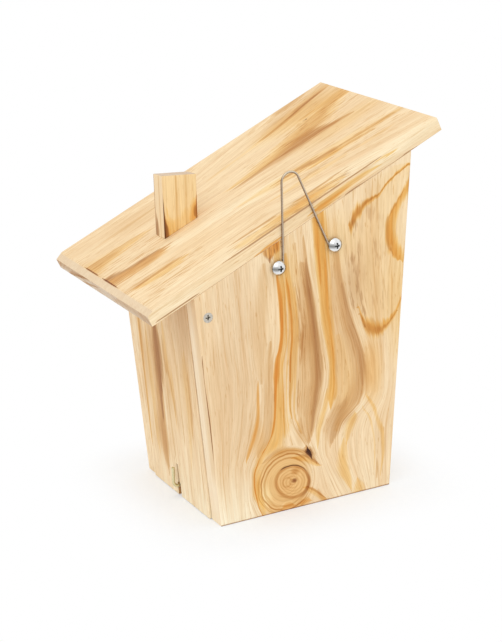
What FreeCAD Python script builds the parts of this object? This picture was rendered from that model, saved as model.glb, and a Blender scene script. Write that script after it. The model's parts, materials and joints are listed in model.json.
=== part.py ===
"""Bird nest box of leaning pine boards, with a sloping roof, a chimney block and a wire hanger.

The side wall under the low eave hangs on two screws as a clean-out door, and a bent hook in the
edge of the floor latches it. Millimetres and degrees. +Z is up and the origin is the middle of the
foot. The front, with the entrance, faces -Y, the hanger faces +Y and the door faces +X.
"""
import FreeCAD
import Part
import math
import os

# Box of boards
BASE_WIDTH = 135.0
BOX_DEPTH = 118.0
BOARD = 14.0
FLOOR_BOARD = 14.0
SIDE_LEAN = 4.5
EDGE_EASE = 0.5

# Roof board, measured on its underside and down its slope
ROOF_HEIGHT = 202.5
ROOF_PITCH = 24.4
ROOF_LENGTH = 244.0
ROOF_OVERHANG = 40.0
ROOF_BOARD = 10.0
EAVE_BEVEL_RUN = 6.0
EAVE_BEVEL_DROP = 2.5

# Entrance in the front panel
ENTRANCE_DIAMETER = 32.0
ENTRANCE_HEIGHT = 135.0
ENTRANCE_EASE = 1.2

# Chimney block, plumb, with its height taken on its middle line above the roof, and the degrees by
# which its sawn top rises to the low side of the roof and to the back
CHIMNEY_WIDTH = 26.0
CHIMNEY_DEPTH = BOARD
CHIMNEY_HEIGHT = 37.4
CHIMNEY_X = 51.0
CHIMNEY_Y = -26.75
CHIMNEY_TOP_RISE_X = 4.3
CHIMNEY_TOP_RISE_Y = 5.0

# Clean-out door, which hangs more upright than the panels' edges, so that its foot stands proud
DOOR_LEAN = 3.9
DOOR_SIDE_GAP = 0.6
DOOR_TOP_GAP = 3.0
DOOR_SEAT_GAP = 0.4
DOOR_LIFT = 0.3

# The door's pivots: their inset from the panels' edges and their drop under the roof
PIVOT_INSET = 8.3
PIVOT_DROP = 17.5

# Countersunk screws, for the pivots and the chimney block
SCREW_SHANK = 3.5
SCREW_HEAD = 7.0
SCREW_POINT = 4.0
SCREW_SINK = 0.2
PIVOT_SCREW_LENGTH = 38.0
CHIMNEY_SCREW_LENGTH = 30.0
SCREW_RECESS = 3.6
SCREW_RECESS_DEPTH = 1.5

# Latch hook of bent wire, in the edge of the floor, a little above the middle of the floor board
HOOK_WIRE = 2.2
HOOK_Y = -2.0
HOOK_RISE = 1.5
HOOK_REACH = 4.3
HOOK_LEG = 14.5
HOOK_BEND = 3.4
HOOK_GRIP = 16.0

# Kerf in the door round the hook's shank, and the narrower slot above it that lets the leg through
KERF_GAP = 1.4
KERF_RISE = 1.8
SLOT_GAP = 0.3
SLOT_ROOM = 2.0

# Hanger: wire, eyes and round-head screws, each placed across the back and under the roof
HANGER_WIRE = 1.5
HANGER_EYE = 3.8
HANGER_EYE_TURN = 270.0
HANGER_BEND = 6.5
HANGER_TOP_X = 7.9
HANGER_RISE = 37.9
HANGER_LEFT_X = 18.6
HANGER_LEFT_DROP = 17.3
HANGER_RIGHT_X = -24.65
HANGER_RIGHT_DROP = 28.0
HANGER_SHANK = 4.0
HANGER_HEAD = 10.0
HANGER_HEAD_RIM = 0.8
HANGER_HEAD_DOME = 3.6
HANGER_SCREW_GRIP = 11.5
HANGER_RECESS = 4.6
HANGER_RECESS_DEPTH = 2.0

# Dowels of the glued joints
DOWEL = 6.0
DOWEL_IN_PANEL = 8.5
DOWEL_IN_EDGE = 18.0
DOWEL_IN_ROOF = 6.0
WALL_DOWEL_COUNT = 3
FLOOR_DOWEL_SPACING = 50.0
WALL_FLOOR_DOWEL_SPACING = 36.0
ROOF_DOWEL_SPACING = 100.0

# Clearances
RUNNING_GAP = 0.05
FIXED_GAP = 0.02
HOLE_END_ROOM = 0.5

# How wide a cross recess's arm is, and how far it narrows, as shares of its span
RECESS_ARM = 0.3
RECESS_TAPER = 0.5

# How far a cutting shape runs past the face that it opens
CUT_PAST = 1.0

Vector = FreeCAD.Vector
UP = Vector(0, 0, 1)


def leaning_line(through, lean, side, gap=0.0):
    """Line in the XZ plane that leans out by lean on side +1 or -1, a gap outside a point.

    A line is its outward normal (x, z) and its distance from the origin along that normal.
    """
    normal_x = side * math.cos(math.radians(lean))
    normal_z = -math.sin(math.radians(lean))
    return normal_x, normal_z, normal_x * through[0] + normal_z * through[1] + gap


def shifted(line, gap):
    """The same line, moved along its normal."""
    return line[0], line[1], line[2] + gap


def level(height):
    """Level line at a height."""
    return 0.0, 1.0, height


def plumb(x):
    """Upright line at x."""
    return 1.0, 0.0, x


def meet(first, second):
    """The point (x, z) where two lines cross."""
    spread = first[0] * second[1] - first[1] * second[0]
    x = (first[2] * second[1] - first[1] * second[2]) / spread
    z = (first[0] * second[2] - first[2] * second[0]) / spread
    return x, z


# Lines that the boards share, in the XZ plane
PITCH = math.radians(ROOF_PITCH)
OFF_ROOF = Vector(math.sin(PITCH), 0, math.cos(PITCH))
FOOT = level(0.0)
FLOOR_TOP = level(FLOOR_BOARD)
ROOF_UNDER = (OFF_ROOF.x, OFF_ROOF.z, ROOF_HEIGHT * OFF_ROOF.z)
ROOF_TOP = shifted(ROOF_UNDER, ROOF_BOARD)
LOW_EDGE = leaning_line((BASE_WIDTH / 2, 0.0), SIDE_LEAN, 1)
HIGH_EDGE = leaning_line((-BASE_WIDTH / 2, 0.0), SIDE_LEAN, -1)
WALL_MIDDLE = shifted(HIGH_EDGE, -BOARD / 2)
WALL_INSIDE = shifted(HIGH_EDGE, -BOARD)
PIVOT = meet(shifted(LOW_EDGE, -PIVOT_INSET), shifted(ROOF_UNDER, -PIVOT_DROP))
DOOR_OUTSIDE = leaning_line(PIVOT, DOOR_LEAN, 1, PIVOT_INSET)
DOOR_INSIDE = shifted(DOOR_OUTSIDE, -BOARD)
FLOOR_EDGE = shifted(DOOR_INSIDE, -DOOR_SEAT_GAP)

# Faces across the box, along Y
BACK = BOX_DEPTH / 2
BACK_INSIDE = BACK - BOARD
ROOF_FRONT = -BACK - ROOF_OVERHANG

# The two panels, by the side of the box that they close
PANELS = {"front": -1, "back": 1}


def line_through(start, end):
    """Line through two points (x, z)."""
    run = end[0] - start[0]
    rise = end[1] - start[1]
    length = math.hypot(run, rise)
    normal_x = -rise / length
    normal_z = run / length
    return normal_x, normal_z, normal_x * start[0] + normal_z * start[1]


def slab(lines, y_from, y_to):
    """Board whose outline is where each line meets the next, between two Y faces."""
    corners = [meet(lines[n - 1], lines[n]) for n in range(len(lines))]
    points = [Vector(x, y_from, z) for x, z in corners]
    outline = Part.makePolygon(points + points[:1])
    return Part.Face(outline).extrude(Vector(0, y_to - y_from, 0))


def eased(shape, radius=EDGE_EASE):
    """The board with all its edges rounded."""
    return shape.makeFillet(radius, shape.Edges)


def peg(at, along, radius, behind, ahead):
    """Round bar on the line through a point, from behind the point to ahead of it."""
    return Part.makeCylinder(radius, behind + ahead, at - along * behind, along)


def turned(edges):
    """Solid turned about Z from the edges of a closed half profile in the XZ plane."""
    return Part.Face(Part.Wire(edges)).revolve(Vector(), UP, 360)


def profile_lines(points):
    """Straight edges through half-profile points (radius, height)."""
    places = [Vector(radius, 0, height) for radius, height in points]
    return [Part.LineSegment(start, end).toShape() for start, end in zip(places, places[1:])]


def placed(shape, at, outward):
    """A shape made about Z at the origin, set at a point with its +Z turned outward."""
    moved = shape.copy()
    moved.Placement = FreeCAD.Placement(at, FreeCAD.Rotation(UP, outward))
    return moved


def bent_rod(edges, radius):
    """Round rod of one radius along a path of straight and arc edges."""
    start = edges[0].firstVertex().Point
    tangent = edges[0].tangentAt(edges[0].FirstParameter)
    section = Part.Wire(Part.makeCircle(radius, start, tangent))
    return Part.Wire(edges).makePipeShell([section], True, False)


def cross_recess(span, depth, top):
    """Tapered driver recess, sunk from a height down into a screw's head."""

    def outline(size, height):
        half = size / 2
        arm = half * RECESS_ARM
        points = []
        for quarter in range(4):
            turn = FreeCAD.Rotation(UP, 90 * quarter)
            for x, y in ((half, -arm), (half, arm), (arm, arm)):
                points.append(turn.multVec(Vector(x, y, height)))
        return Part.makePolygon(points + points[:1])

    return Part.makeLoft([outline(span, top), outline(span * RECESS_TAPER, top - depth)], True, True)


def countersunk_screw(length):
    """Countersunk screw, its flat head at the origin and its point down."""
    rim = SCREW_HEAD / 2
    shank = SCREW_SHANK / 2
    points = [(0, 0), (rim, 0), (shank, shank - rim), (shank, SCREW_POINT - length), (0, -length), (0, 0)]
    return turned(profile_lines(points)).cut(cross_recess(SCREW_RECESS, SCREW_RECESS_DEPTH, 0))


def countersunk_room(length, gap):
    """The room that a countersunk screw needs, a gap larger than it and open above its head."""
    rim = SCREW_HEAD / 2 + gap
    shank = SCREW_SHANK / 2 + gap
    end = -length - HOLE_END_ROOM
    points = [(0, CUT_PAST), (rim, CUT_PAST), (rim, 0), (shank, shank - rim), (shank, end), (0, end)]
    return turned(profile_lines(points + points[:1]))


def round_head_screw(length):
    """Round-head screw, the underside of its head at the origin and its point down."""
    rim = HANGER_HEAD / 2
    shank = HANGER_SHANK / 2
    rise = HANGER_HEAD_DOME - HANGER_HEAD_RIM
    ball = (rim * rim + rise * rise) / (2 * rise)
    half_turn = math.asin(rim / ball) / 2
    crown = Vector(0, 0, HANGER_HEAD_DOME)
    shoulder = Vector(ball * math.sin(half_turn), 0, HANGER_HEAD_DOME - ball * (1 - math.cos(half_turn)))
    dome = Part.Arc(crown, shoulder, Vector(rim, 0, HANGER_HEAD_RIM)).toShape()
    points = [(rim, HANGER_HEAD_RIM), (rim, 0), (shank, 0), (shank, SCREW_POINT - length), (0, -length)]
    sides = profile_lines(points + [(0, HANGER_HEAD_DOME)])
    return turned([dome] + sides).cut(cross_recess(HANGER_RECESS, HANGER_RECESS_DEPTH, HANGER_HEAD_DOME))


def panel(side):
    """Front or back panel, between the two leaning edges and the roof."""
    outline = [FOOT, LOW_EDGE, ROOF_UNDER, HIGH_EDGE]
    return eased(slab(outline, side * BACK, side * BACK_INSIDE))


def front_panel():
    """Front panel with the entrance, its rim rounded on both faces."""
    at = Vector(0, -BACK, ENTRANCE_HEIGHT)
    radius = ENTRANCE_DIAMETER / 2
    board = panel(PANELS["front"]).cut(peg(at, Vector(0, 1, 0), radius, CUT_PAST, BOARD + CUT_PAST))
    rounds = [edge for edge in board.Edges if not edge.Degenerated and isinstance(edge.Curve, Part.Circle)]
    rims = [edge for edge in rounds if math.isclose(edge.Curve.Radius, radius)]
    return board.makeFillet(ENTRANCE_EASE, rims)


def side_wall():
    """Fixed wall on the high side, between the panels."""
    outline = [FOOT, WALL_INSIDE, ROOF_UNDER, HIGH_EDGE]
    return eased(slab(outline, -BACK_INSIDE, BACK_INSIDE))


def floor_panel():
    """Floor between the panels, from the fixed wall to the door's inside."""
    return slab([FOOT, FLOOR_EDGE, FLOOR_TOP, WALL_INSIDE], -BACK_INSIDE, BACK_INSIDE)


def roof_board():
    """Roof board with a bevel along the top of its low end."""
    centre = ROOF_HEIGHT * OFF_ROOF.x
    low_end = (OFF_ROOF.z, -OFF_ROOF.x, ROOF_LENGTH / 2 - centre)
    high_end = (-OFF_ROOF.z, OFF_ROOF.x, ROOF_LENGTH / 2 + centre)
    bevel_start = meet(shifted(low_end, -EAVE_BEVEL_RUN), ROOF_TOP)
    bevel_end = meet(low_end, shifted(ROOF_TOP, -EAVE_BEVEL_DROP))
    bevel = line_through(bevel_start, bevel_end)
    return eased(slab([ROOF_UNDER, low_end, bevel, ROOF_TOP, high_end], ROOF_FRONT, BACK))


def chimney_block():
    """Plumb block, its foot cut to the slope of the roof and its top sawn a little out of level."""
    top = Vector(CHIMNEY_X, CHIMNEY_Y, meet(ROOF_TOP, plumb(CHIMNEY_X))[1] + CHIMNEY_HEIGHT)
    reach = CHIMNEY_WIDTH + CHIMNEY_DEPTH
    low_face = plumb(CHIMNEY_X + CHIMNEY_WIDTH / 2)
    high_face = plumb(CHIMNEY_X - CHIMNEY_WIDTH / 2)
    outline = [ROOF_TOP, low_face, level(top.z + reach), high_face]
    block = slab(outline, CHIMNEY_Y - CHIMNEY_DEPTH / 2, CHIMNEY_Y + CHIMNEY_DEPTH / 2)
    rise_x = math.tan(math.radians(CHIMNEY_TOP_RISE_X))
    rise_y = math.tan(math.radians(CHIMNEY_TOP_RISE_Y))
    waste = Part.makeBox(2 * reach, 2 * reach, 2 * reach, Vector(-reach, -reach, 0))
    return eased(block.cut(placed(waste, top, Vector(-rise_x, -rise_y, 1))))


def hook_height():
    """Height of the hook's shank, in the floor board's edge."""
    return FLOOR_BOARD / 2 + HOOK_RISE


def clean_out_door():
    """Door between the panels, square at its foot, with a kerf and a slot for the latch hook."""
    heel = meet(DOOR_OUTSIDE, level(DOOR_LIFT))
    foot = (-DOOR_OUTSIDE[1], DOOR_OUTSIDE[0], DOOR_OUTSIDE[0] * heel[1] - DOOR_OUTSIDE[1] * heel[0])
    outline = [foot, DOOR_OUTSIDE, shifted(ROOF_UNDER, -DOOR_TOP_GAP), DOOR_INSIDE]
    half_width = BACK_INSIDE - DOOR_SIDE_GAP
    board = eased(slab(outline, -half_width, half_width))
    inside = plumb(meet(DOOR_INSIDE, FOOT)[0] - CUT_PAST)
    for rise, gap in ((KERF_RISE, KERF_GAP), (HOOK_LEG + SLOT_ROOM, SLOT_GAP)):
        top = level(hook_height() + rise)
        half = HOOK_WIRE / 2 + gap
        outside = plumb(meet(DOOR_OUTSIDE, top)[0] + CUT_PAST)
        board = board.cut(slab([level(-CUT_PAST), outside, top, inside], HOOK_Y - half, HOOK_Y + half))
    return board


def latch_hook():
    """Hook of bent wire: a shank in the floor's edge, out through the kerf, and an upright leg."""
    height = hook_height()
    tip = Vector(meet(FLOOR_EDGE, level(height))[0] - HOOK_GRIP, HOOK_Y, height)
    leg_x = meet(DOOR_OUTSIDE, level(height))[0] + HOOK_REACH
    bend_start = Vector(leg_x - HOOK_BEND, HOOK_Y, height)
    bend_end = Vector(leg_x, HOOK_Y, height + HOOK_BEND)
    slack = HOOK_BEND * (1 - math.sqrt(0.5))
    bend_middle = Vector(leg_x - slack, HOOK_Y, height + slack)
    leg_end = Vector(leg_x, HOOK_Y, height + HOOK_LEG)
    path = [
        Part.LineSegment(tip, bend_start).toShape(),
        Part.Arc(bend_start, bend_middle, bend_end).toShape(),
        Part.LineSegment(bend_end, leg_end).toShape(),
    ]
    return bent_rod(path, HOOK_WIRE / 2)


def hook_bore():
    """Bore in the floor's edge that the hook's shank turns in."""
    mouth = Vector(meet(FLOOR_EDGE, level(hook_height()))[0], HOOK_Y, hook_height())
    inward = Vector(-1, 0, 0)
    return peg(mouth, inward, HOOK_WIRE / 2 + RUNNING_GAP, BOARD, HOOK_GRIP + HOLE_END_ROOM)


def hanger_screw_places():
    """Where the hanger's two screws stand on the back panel, as seen from behind."""
    places = {}
    sides = {"left": (HANGER_LEFT_X, HANGER_LEFT_DROP), "right": (HANGER_RIGHT_X, HANGER_RIGHT_DROP)}
    for name, (x, drop) in sides.items():
        places[name] = Vector(x, BACK, meet(ROOF_UNDER, plumb(x))[1] - drop)
    return places


def on_circle(centre, radius, angle):
    """Point of an upright circle that faces along Y, its angle counted from +X to +Z."""
    return centre + Vector(math.cos(angle), 0, math.sin(angle)) * radius


def round_edges(centre, radius, start, turn):
    """Arc about a centre, as two edges of half the turn each."""
    edges = []
    for half in range(2):
        angles = [start + turn * (half / 2 + part / 4) for part in range(3)]
        edges.append(Part.Arc(*[on_circle(centre, radius, angle) for angle in angles]).toShape())
    return edges


def hanger_wire():
    """Wire hanger, one bend at its top and an eye about each screw, flat against the back."""
    off_back = Vector(0, HANGER_WIRE / 2 + FIXED_GAP, 0)
    eyes = hanger_screw_places()
    left = eyes["left"] + off_back
    right = eyes["right"] + off_back
    top = Vector(HANGER_TOP_X, BACK, ROOF_HEIGHT + HANGER_RISE - HANGER_BEND) + off_back
    normals = {}
    for name, eye, side in (("left", left, 1), ("right", right, -1)):
        reach = eye - top
        crossing = math.acos((HANGER_BEND + HANGER_EYE) / reach.Length)
        normals[name] = math.atan2(reach.z, reach.x) + side * crossing
    turn = math.radians(HANGER_EYE_TURN)
    left_start = normals["left"] + math.pi
    right_start = normals["right"] + math.pi
    left_eye = round_edges(left, HANGER_EYE, left_start + turn, -turn)
    right_eye = round_edges(right, HANGER_EYE, right_start, -turn)
    top_turn = (normals["right"] - normals["left"]) % (2 * math.pi)
    top_bend = round_edges(top, HANGER_BEND, normals["left"], top_turn)
    left_leg = Part.LineSegment(
        on_circle(left, HANGER_EYE, left_start), on_circle(top, HANGER_BEND, normals["left"])
    ).toShape()
    right_leg = Part.LineSegment(
        on_circle(top, HANGER_BEND, normals["right"]), on_circle(right, HANGER_EYE, right_start)
    ).toShape()
    return bent_rod(left_eye + [left_leg] + top_bend + [right_leg] + right_eye, HANGER_WIRE / 2)


def spread(low, high, count):
    """Evenly spread places between two limits, half a step in from each."""
    step = (high - low) / count
    return [low + step * (n + 0.5) for n in range(count)]


def dowel_plan():
    """Each dowel's name, its place on the joint, the way into its second board and its two boards."""
    plan = []
    wall_top = meet(WALL_INSIDE, ROOF_UNDER)[1]
    floor_middle = level(FLOOR_BOARD / 2)
    wall_foot = meet(WALL_INSIDE, floor_middle)
    for name, side in PANELS.items():
        joint = side * BACK_INSIDE
        inward = Vector(0, -side, 0)
        board = f"{name}_panel"
        for n, height in enumerate(spread(FLOOR_BOARD, wall_top, WALL_DOWEL_COUNT), 1):
            at = Vector(meet(WALL_MIDDLE, level(height))[0], joint, height)
            plan.append((f"dowel_{name}_wall_{n}", at, inward, DOWEL_IN_PANEL, board, "side_wall"))
        for n, end in enumerate((-1, 1), 1):
            at = Vector(end * FLOOR_DOWEL_SPACING / 2, joint, FLOOR_BOARD / 2)
            plan.append((f"dowel_{name}_floor_{n}", at, inward, DOWEL_IN_PANEL, board, "floor_panel"))
            x, height = meet(ROOF_UNDER, plumb(end * ROOF_DOWEL_SPACING / 2))
            at = Vector(x, side * (BACK - BOARD / 2), height)
            plan.append((f"dowel_roof_{name}_{n}", at, -OFF_ROOF, DOWEL_IN_ROOF, "roof_board", board))
    inward = Vector(1, 0, 0)
    for n, end in enumerate((-1, 1), 1):
        at = Vector(wall_foot[0], end * WALL_FLOOR_DOWEL_SPACING / 2, wall_foot[1])
        plan.append((f"dowel_wall_floor_{n}", at, inward, DOWEL_IN_PANEL, "side_wall", "floor_panel"))
    return plan


def add_dowels(pieces):
    """Add each dowel and bore both of its boards for it."""
    radius = DOWEL / 2
    for name, at, along, depth, first, second in dowel_plan():
        pieces[name] = peg(at, along, radius, depth, DOWEL_IN_EDGE)
        hole = peg(at, along, radius + FIXED_GAP, depth + HOLE_END_ROOM, DOWEL_IN_EDGE + HOLE_END_ROOM)
        pieces[first] = pieces[first].cut(hole)
        pieces[second] = pieces[second].cut(hole)


def add_pivots(pieces):
    """Add the door's two pivot screws, fast in the door and free to turn in the panels."""
    for name, side in PANELS.items():
        outward = Vector(0, side, 0)
        seat = Vector(PIVOT[0], side * (BACK - SCREW_SINK), PIVOT[1])
        pieces[f"pivot_screw_{name}"] = placed(countersunk_screw(PIVOT_SCREW_LENGTH), seat, outward)
        for board, gap in ((f"{name}_panel", RUNNING_GAP), ("clean_out_door", FIXED_GAP)):
            room = placed(countersunk_room(PIVOT_SCREW_LENGTH, gap), seat, outward)
            pieces[board] = pieces[board].cut(room)


def add_chimney_screw(pieces):
    """Add the screw that holds the chimney block, driven square to the roof from its underside.

    Its axis crosses the block's middle line halfway along its grip.
    """
    half_grip = (ROOF_BOARD + CHIMNEY_SCREW_LENGTH) / 2
    under = meet(ROOF_UNDER, plumb(CHIMNEY_X - OFF_ROOF.x * half_grip))
    seat = Vector(under[0], CHIMNEY_Y, under[1]) + OFF_ROOF * SCREW_SINK
    pieces["chimney_screw"] = placed(countersunk_screw(CHIMNEY_SCREW_LENGTH), seat, -OFF_ROOF)
    room = placed(countersunk_room(CHIMNEY_SCREW_LENGTH, FIXED_GAP), seat, -OFF_ROOF)
    for board in ("roof_board", "chimney_block"):
        pieces[board] = pieces[board].cut(room)


def add_hanger(pieces):
    """Add the hanger wire and the two screws that clamp its eyes to the back panel."""
    pieces["hanger_wire"] = hanger_wire()
    outward = Vector(0, 1, 0)
    wire_room = HANGER_WIRE + 2 * FIXED_GAP
    for name, at in hanger_screw_places().items():
        screw = round_head_screw(wire_room + HANGER_SCREW_GRIP)
        pieces[f"hanger_screw_{name}"] = placed(screw, at + outward * wire_room, outward)
        radius = HANGER_SHANK / 2 + FIXED_GAP
        hole = peg(at, -outward, radius, CUT_PAST, HANGER_SCREW_GRIP + HOLE_END_ROOM)
        pieces["back_panel"] = pieces["back_panel"].cut(hole)


def main():
    """Make every piece and write each to its own file."""
    pieces = {
        "front_panel": front_panel(),
        "back_panel": panel(PANELS["back"]),
        "side_wall": side_wall(),
        "floor_panel": floor_panel().cut(hook_bore()),
        "roof_board": roof_board(),
        "chimney_block": chimney_block(),
        "clean_out_door": clean_out_door(),
        "latch_hook": latch_hook(),
    }
    add_dowels(pieces)
    add_pivots(pieces)
    add_chimney_screw(pieces)
    add_hanger(pieces)
    os.makedirs("parts", exist_ok=True)
    for name, shape in pieces.items():
        shape.exportStep(f"parts/{name}.step")
        print(f"{name}: {len(shape.Solids)} solid, {shape.Volume:.1f} mm3, valid {shape.isValid()}")


main()
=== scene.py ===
"""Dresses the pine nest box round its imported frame: boards, screws, hanger, hook and studio."""

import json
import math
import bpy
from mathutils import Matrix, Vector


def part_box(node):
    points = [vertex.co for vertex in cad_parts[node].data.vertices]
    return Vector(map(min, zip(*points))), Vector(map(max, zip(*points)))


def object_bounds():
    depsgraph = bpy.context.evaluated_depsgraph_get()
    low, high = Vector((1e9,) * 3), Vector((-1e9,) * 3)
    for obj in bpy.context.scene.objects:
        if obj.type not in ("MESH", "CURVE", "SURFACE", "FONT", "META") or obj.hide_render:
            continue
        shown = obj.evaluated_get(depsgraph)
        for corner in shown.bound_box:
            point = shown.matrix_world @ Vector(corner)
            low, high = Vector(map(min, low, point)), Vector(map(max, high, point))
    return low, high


bl_info = {
    "name": "Pine Nest Box",
    "version": (1, 0, 0),
    "blender": (4, 5, 0),
    "location": "View3D > Sidebar > Nest Box",
    "description": "Dresses a nest box's boards, screws, hanger and hook, and sets up its studio",
    "category": "Object",
}

from collections import namedtuple

import bmesh
import bpy
from mathutils import Vector

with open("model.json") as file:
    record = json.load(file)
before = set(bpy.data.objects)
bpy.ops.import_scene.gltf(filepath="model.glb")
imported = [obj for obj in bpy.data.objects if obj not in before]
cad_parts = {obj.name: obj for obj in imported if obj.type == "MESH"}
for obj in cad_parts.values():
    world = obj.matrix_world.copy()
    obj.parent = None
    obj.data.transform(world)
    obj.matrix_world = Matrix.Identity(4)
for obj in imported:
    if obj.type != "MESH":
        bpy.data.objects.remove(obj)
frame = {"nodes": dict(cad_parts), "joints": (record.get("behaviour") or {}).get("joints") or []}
CAD_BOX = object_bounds()
PER_METRE = 1000.0

# Radius of the round heads' domes in millimetres
HEAD_BALL = 5.864
# The side of the hanger wire that gets a painted highlight
WIRE_PAINTED_HIGHLIGHT_SIDE = (-0.4, 0.45, 0.8)
# Half the foot's width and depth in metres
FOOT_HALF = (0.0675, 0.059, 0.0)

# Piece groups, by the frame's node names
DOWELS = sorted(name for name in frame["nodes"] if name.startswith("dowel_"))
COUNTERSUNK_SCREWS = ("pivot_screw_front", "pivot_screw_back", "chimney_screw")
HANGER_SCREWS = ("hanger_screw_left", "hanger_screw_right")

# The sRGB curve, from seen to linear colour
CHANNEL_FULL = 255
SRGB_KNEE = 0.04045
SRGB_SLOPE = 12.92
SRGB_LIFT = 0.055
SRGB_POWER = 2.4
# What a property needs to be a share from 0 to 1
FACTOR = {"subtype": "FACTOR", "min": 0.0, "max": 1.0}

# Length of a streak's pointed tips and its least half width, in millimetres
STREAK_TIP = 2.0
STREAK_THINNEST = 0.005
# Share of a wash's size inside which it has its full strength
WASH_CORE = 0.1
# A curve that rises less than this is level
CURVE_LEAST = 1e-6
# How squarely a face starts, and comes, to look along an axis
FACING = (0.62, 0.8)
# How far a face must look to one side to be taken for it
FACE_TURN = 0.7

# A streak's line is (along, across, half width) points in millimetres on its board
Streak = namedtuple("Streak", "tint strength soft_low soft_high feather line")
# A patch of colour that fades out towards the rim of its oval
Wash = namedtuple("Wash", "tint strength eye")
# An oval on a board: its middle, half sizes and turn in degrees
Eye = namedtuple("Eye", "across along half_width half_height turn", defaults=(0.0,))
# A noise: its features' sizes in millimetres, its detail and roughness, and the values it is used between
Noise = namedtuple("Noise", "sizes detail rough low high")
# What streaks take from the plain grain: feathered edges, patches, dashes, ragged ends and raised grain
Marks = namedtuple("Marks", "feather patchy dashes ragged relief")
# How a board's plain grain looks: its own seed, contrast, and shares of pale and of straw-coloured wood
Look = namedtuple("Look", "seed contrast pale straw")
# A board's own axes: where it starts, and the ways across, along and into its grain
Grain = namedtuple("Grain", "origin across along depth")
# Where a board lay in its log: the heart's place across it, its distance at the foot and how that grows along
Heart = namedtuple("Heart", "across distance slope")
# Year rings on a sawn end: the pith's place across and into the board, and their own seed
Rings = namedtuple("Rings", "across depth seed")
# A metal: the brightness of its dull spots, their size in millimetres, and its brightness at grazing edges
Metal = namedtuple("Metal", "dull spot_size edge")


def tone(red, green, blue):
    """A colour seen on the box, 0 to 255 a channel, as the linear values that Blender's colours hold."""
    seen = [channel / CHANNEL_FULL for channel in (red, green, blue)]
    bent = [((share + SRGB_LIFT) / (1 + SRGB_LIFT)) ** SRGB_POWER for share in seen]
    return tuple(share / SRGB_SLOPE if share <= SRGB_KNEE else curved for share, curved in zip(seen, bent))


def colour_property(label, words, default):
    """A colour that a user may change."""
    return bpy.props.FloatVectorProperty(
        name=label, description=words, subtype="COLOR", size=3, min=0.0, max=1.0, default=default)


def number_property(label, words, default, **kind):
    """A number that a user may change, of some unit or subtype and within some limits."""
    return bpy.props.FloatProperty(name=label, description=words, default=default, **kind)


class PineFinish(bpy.types.PropertyGroup):
    """The colours and the touch of the pine boards."""

    sapwood: colour_property("Sapwood", "Pale wood between the streaks", tone(246, 220, 180))
    pale_sapwood: colour_property("Pale sapwood", "Creamy wood of the palest boards", tone(249, 233, 206))
    earlywood: colour_property("Earlywood", "Darker lines of the plain grain", tone(232, 195, 146))
    straw: colour_property("Straw", "Yellow wood of the boards' golden parts", tone(246, 215, 150))
    cream: colour_property("Cream", "Palest lines beside the bands", tone(254, 238, 206))
    amber: colour_property("Amber", "Resin-rich bands", tone(231, 172, 86))
    orange: colour_property("Orange", "Strongest resin lines", tone(211, 122, 38))
    brown: colour_property("Brown", "Scorched bands", tone(192, 136, 77))
    umber: colour_property("Umber", "Deepest scorching", tone(142, 95, 58))
    char: colour_property("Char", "Burnt spots and cracks", tone(58, 36, 22))
    end_grain: colour_property("End grain", "Sawn ends of the boards", tone(217, 195, 169))
    roughness: number_property("Roughness", "Roughness of the planed wood", 0.62, **FACTOR)
    relief: number_property("Relief", "Depth of the raised grain", 0.00012, unit="LENGTH", min=0.0, max=0.001)


class MetalFinish(bpy.types.PropertyGroup):
    """The colours and polish of the small metal pieces."""

    zinc: colour_property("Zinc", "Countersunk screws", tone(216, 209, 196))
    plating: colour_property("Plating", "Round heads under the hanger", tone(240, 241, 241))
    # The colour of the painted shade in the screws' recesses and under the round heads' rims, and of their
    # painted dark reflection
    painted_dark: colour_property("Recess", "Driver recesses and shaded rims", tone(120, 120, 118))
    wire: colour_property("Wire", "Hanger wire", tone(162, 138, 117))
    # Wire light is the colour of the painted highlight along the wire's upper side
    wire_painted_highlight: colour_property("Wire light", "Bright side of the hanger wire", tone(222, 208, 186))
    brass: colour_property("Brass", "Latch hook", tone(228, 220, 178))
    zinc_roughness: number_property("Zinc roughness", "Roughness of the screws", 0.38, **FACTOR)
    plating_roughness: number_property("Plating roughness", "Roughness of the round heads", 0.14, **FACTOR)


class StudioSetup(bpy.types.PropertyGroup):
    """The floor, the light and the camera."""

    floor_size: number_property("Floor size", "Side of the square floor", 9.0, unit="LENGTH", min=1.0)
    floor_glow: number_property(
        "Floor white", "Share of plain white in the floor that is seen close to the box", 0.3, **FACTOR)
    shadow_reach: number_property(
        "Shadow reach", "How far from the box the floor turns plain white", 0.065, unit="LENGTH", min=0.001)
    sky: number_property("Sky", "Strength of the even light", 1.0, min=0.0)
    key_power: number_property("Key power", "Power of the large lamp", 4.0, unit="POWER", min=0.0)
    key_size: number_property("Key size", "Side of the large lamp", 1.4, unit="LENGTH", min=0.1)
    azimuth: number_property(
        "Azimuth", "Way round the box to the camera", math.radians(152.8), subtype="ANGLE")
    elevation: number_property(
        "Elevation", "Camera's height above the horizon", math.radians(18.537), subtype="ANGLE")
    roll: number_property(
        "Roll", "Camera's tilt about its own line of sight", math.radians(1.825), subtype="ANGLE")
    distance: number_property(
        "Distance", "From the camera to the foot's middle, along the line of sight", 1.2674, unit="LENGTH")
    aim_right: number_property(
        "Aim right", "How far the foot's middle lies right of the picture's middle", 0.011925, unit="LENGTH")
    aim_down: number_property(
        "Aim down", "How far the foot's middle lies below the picture's middle", 0.11294, unit="LENGTH")
    lens: number_property("Lens", "Focal length", 97.63, unit="CAMERA", min=1.0)


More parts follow.
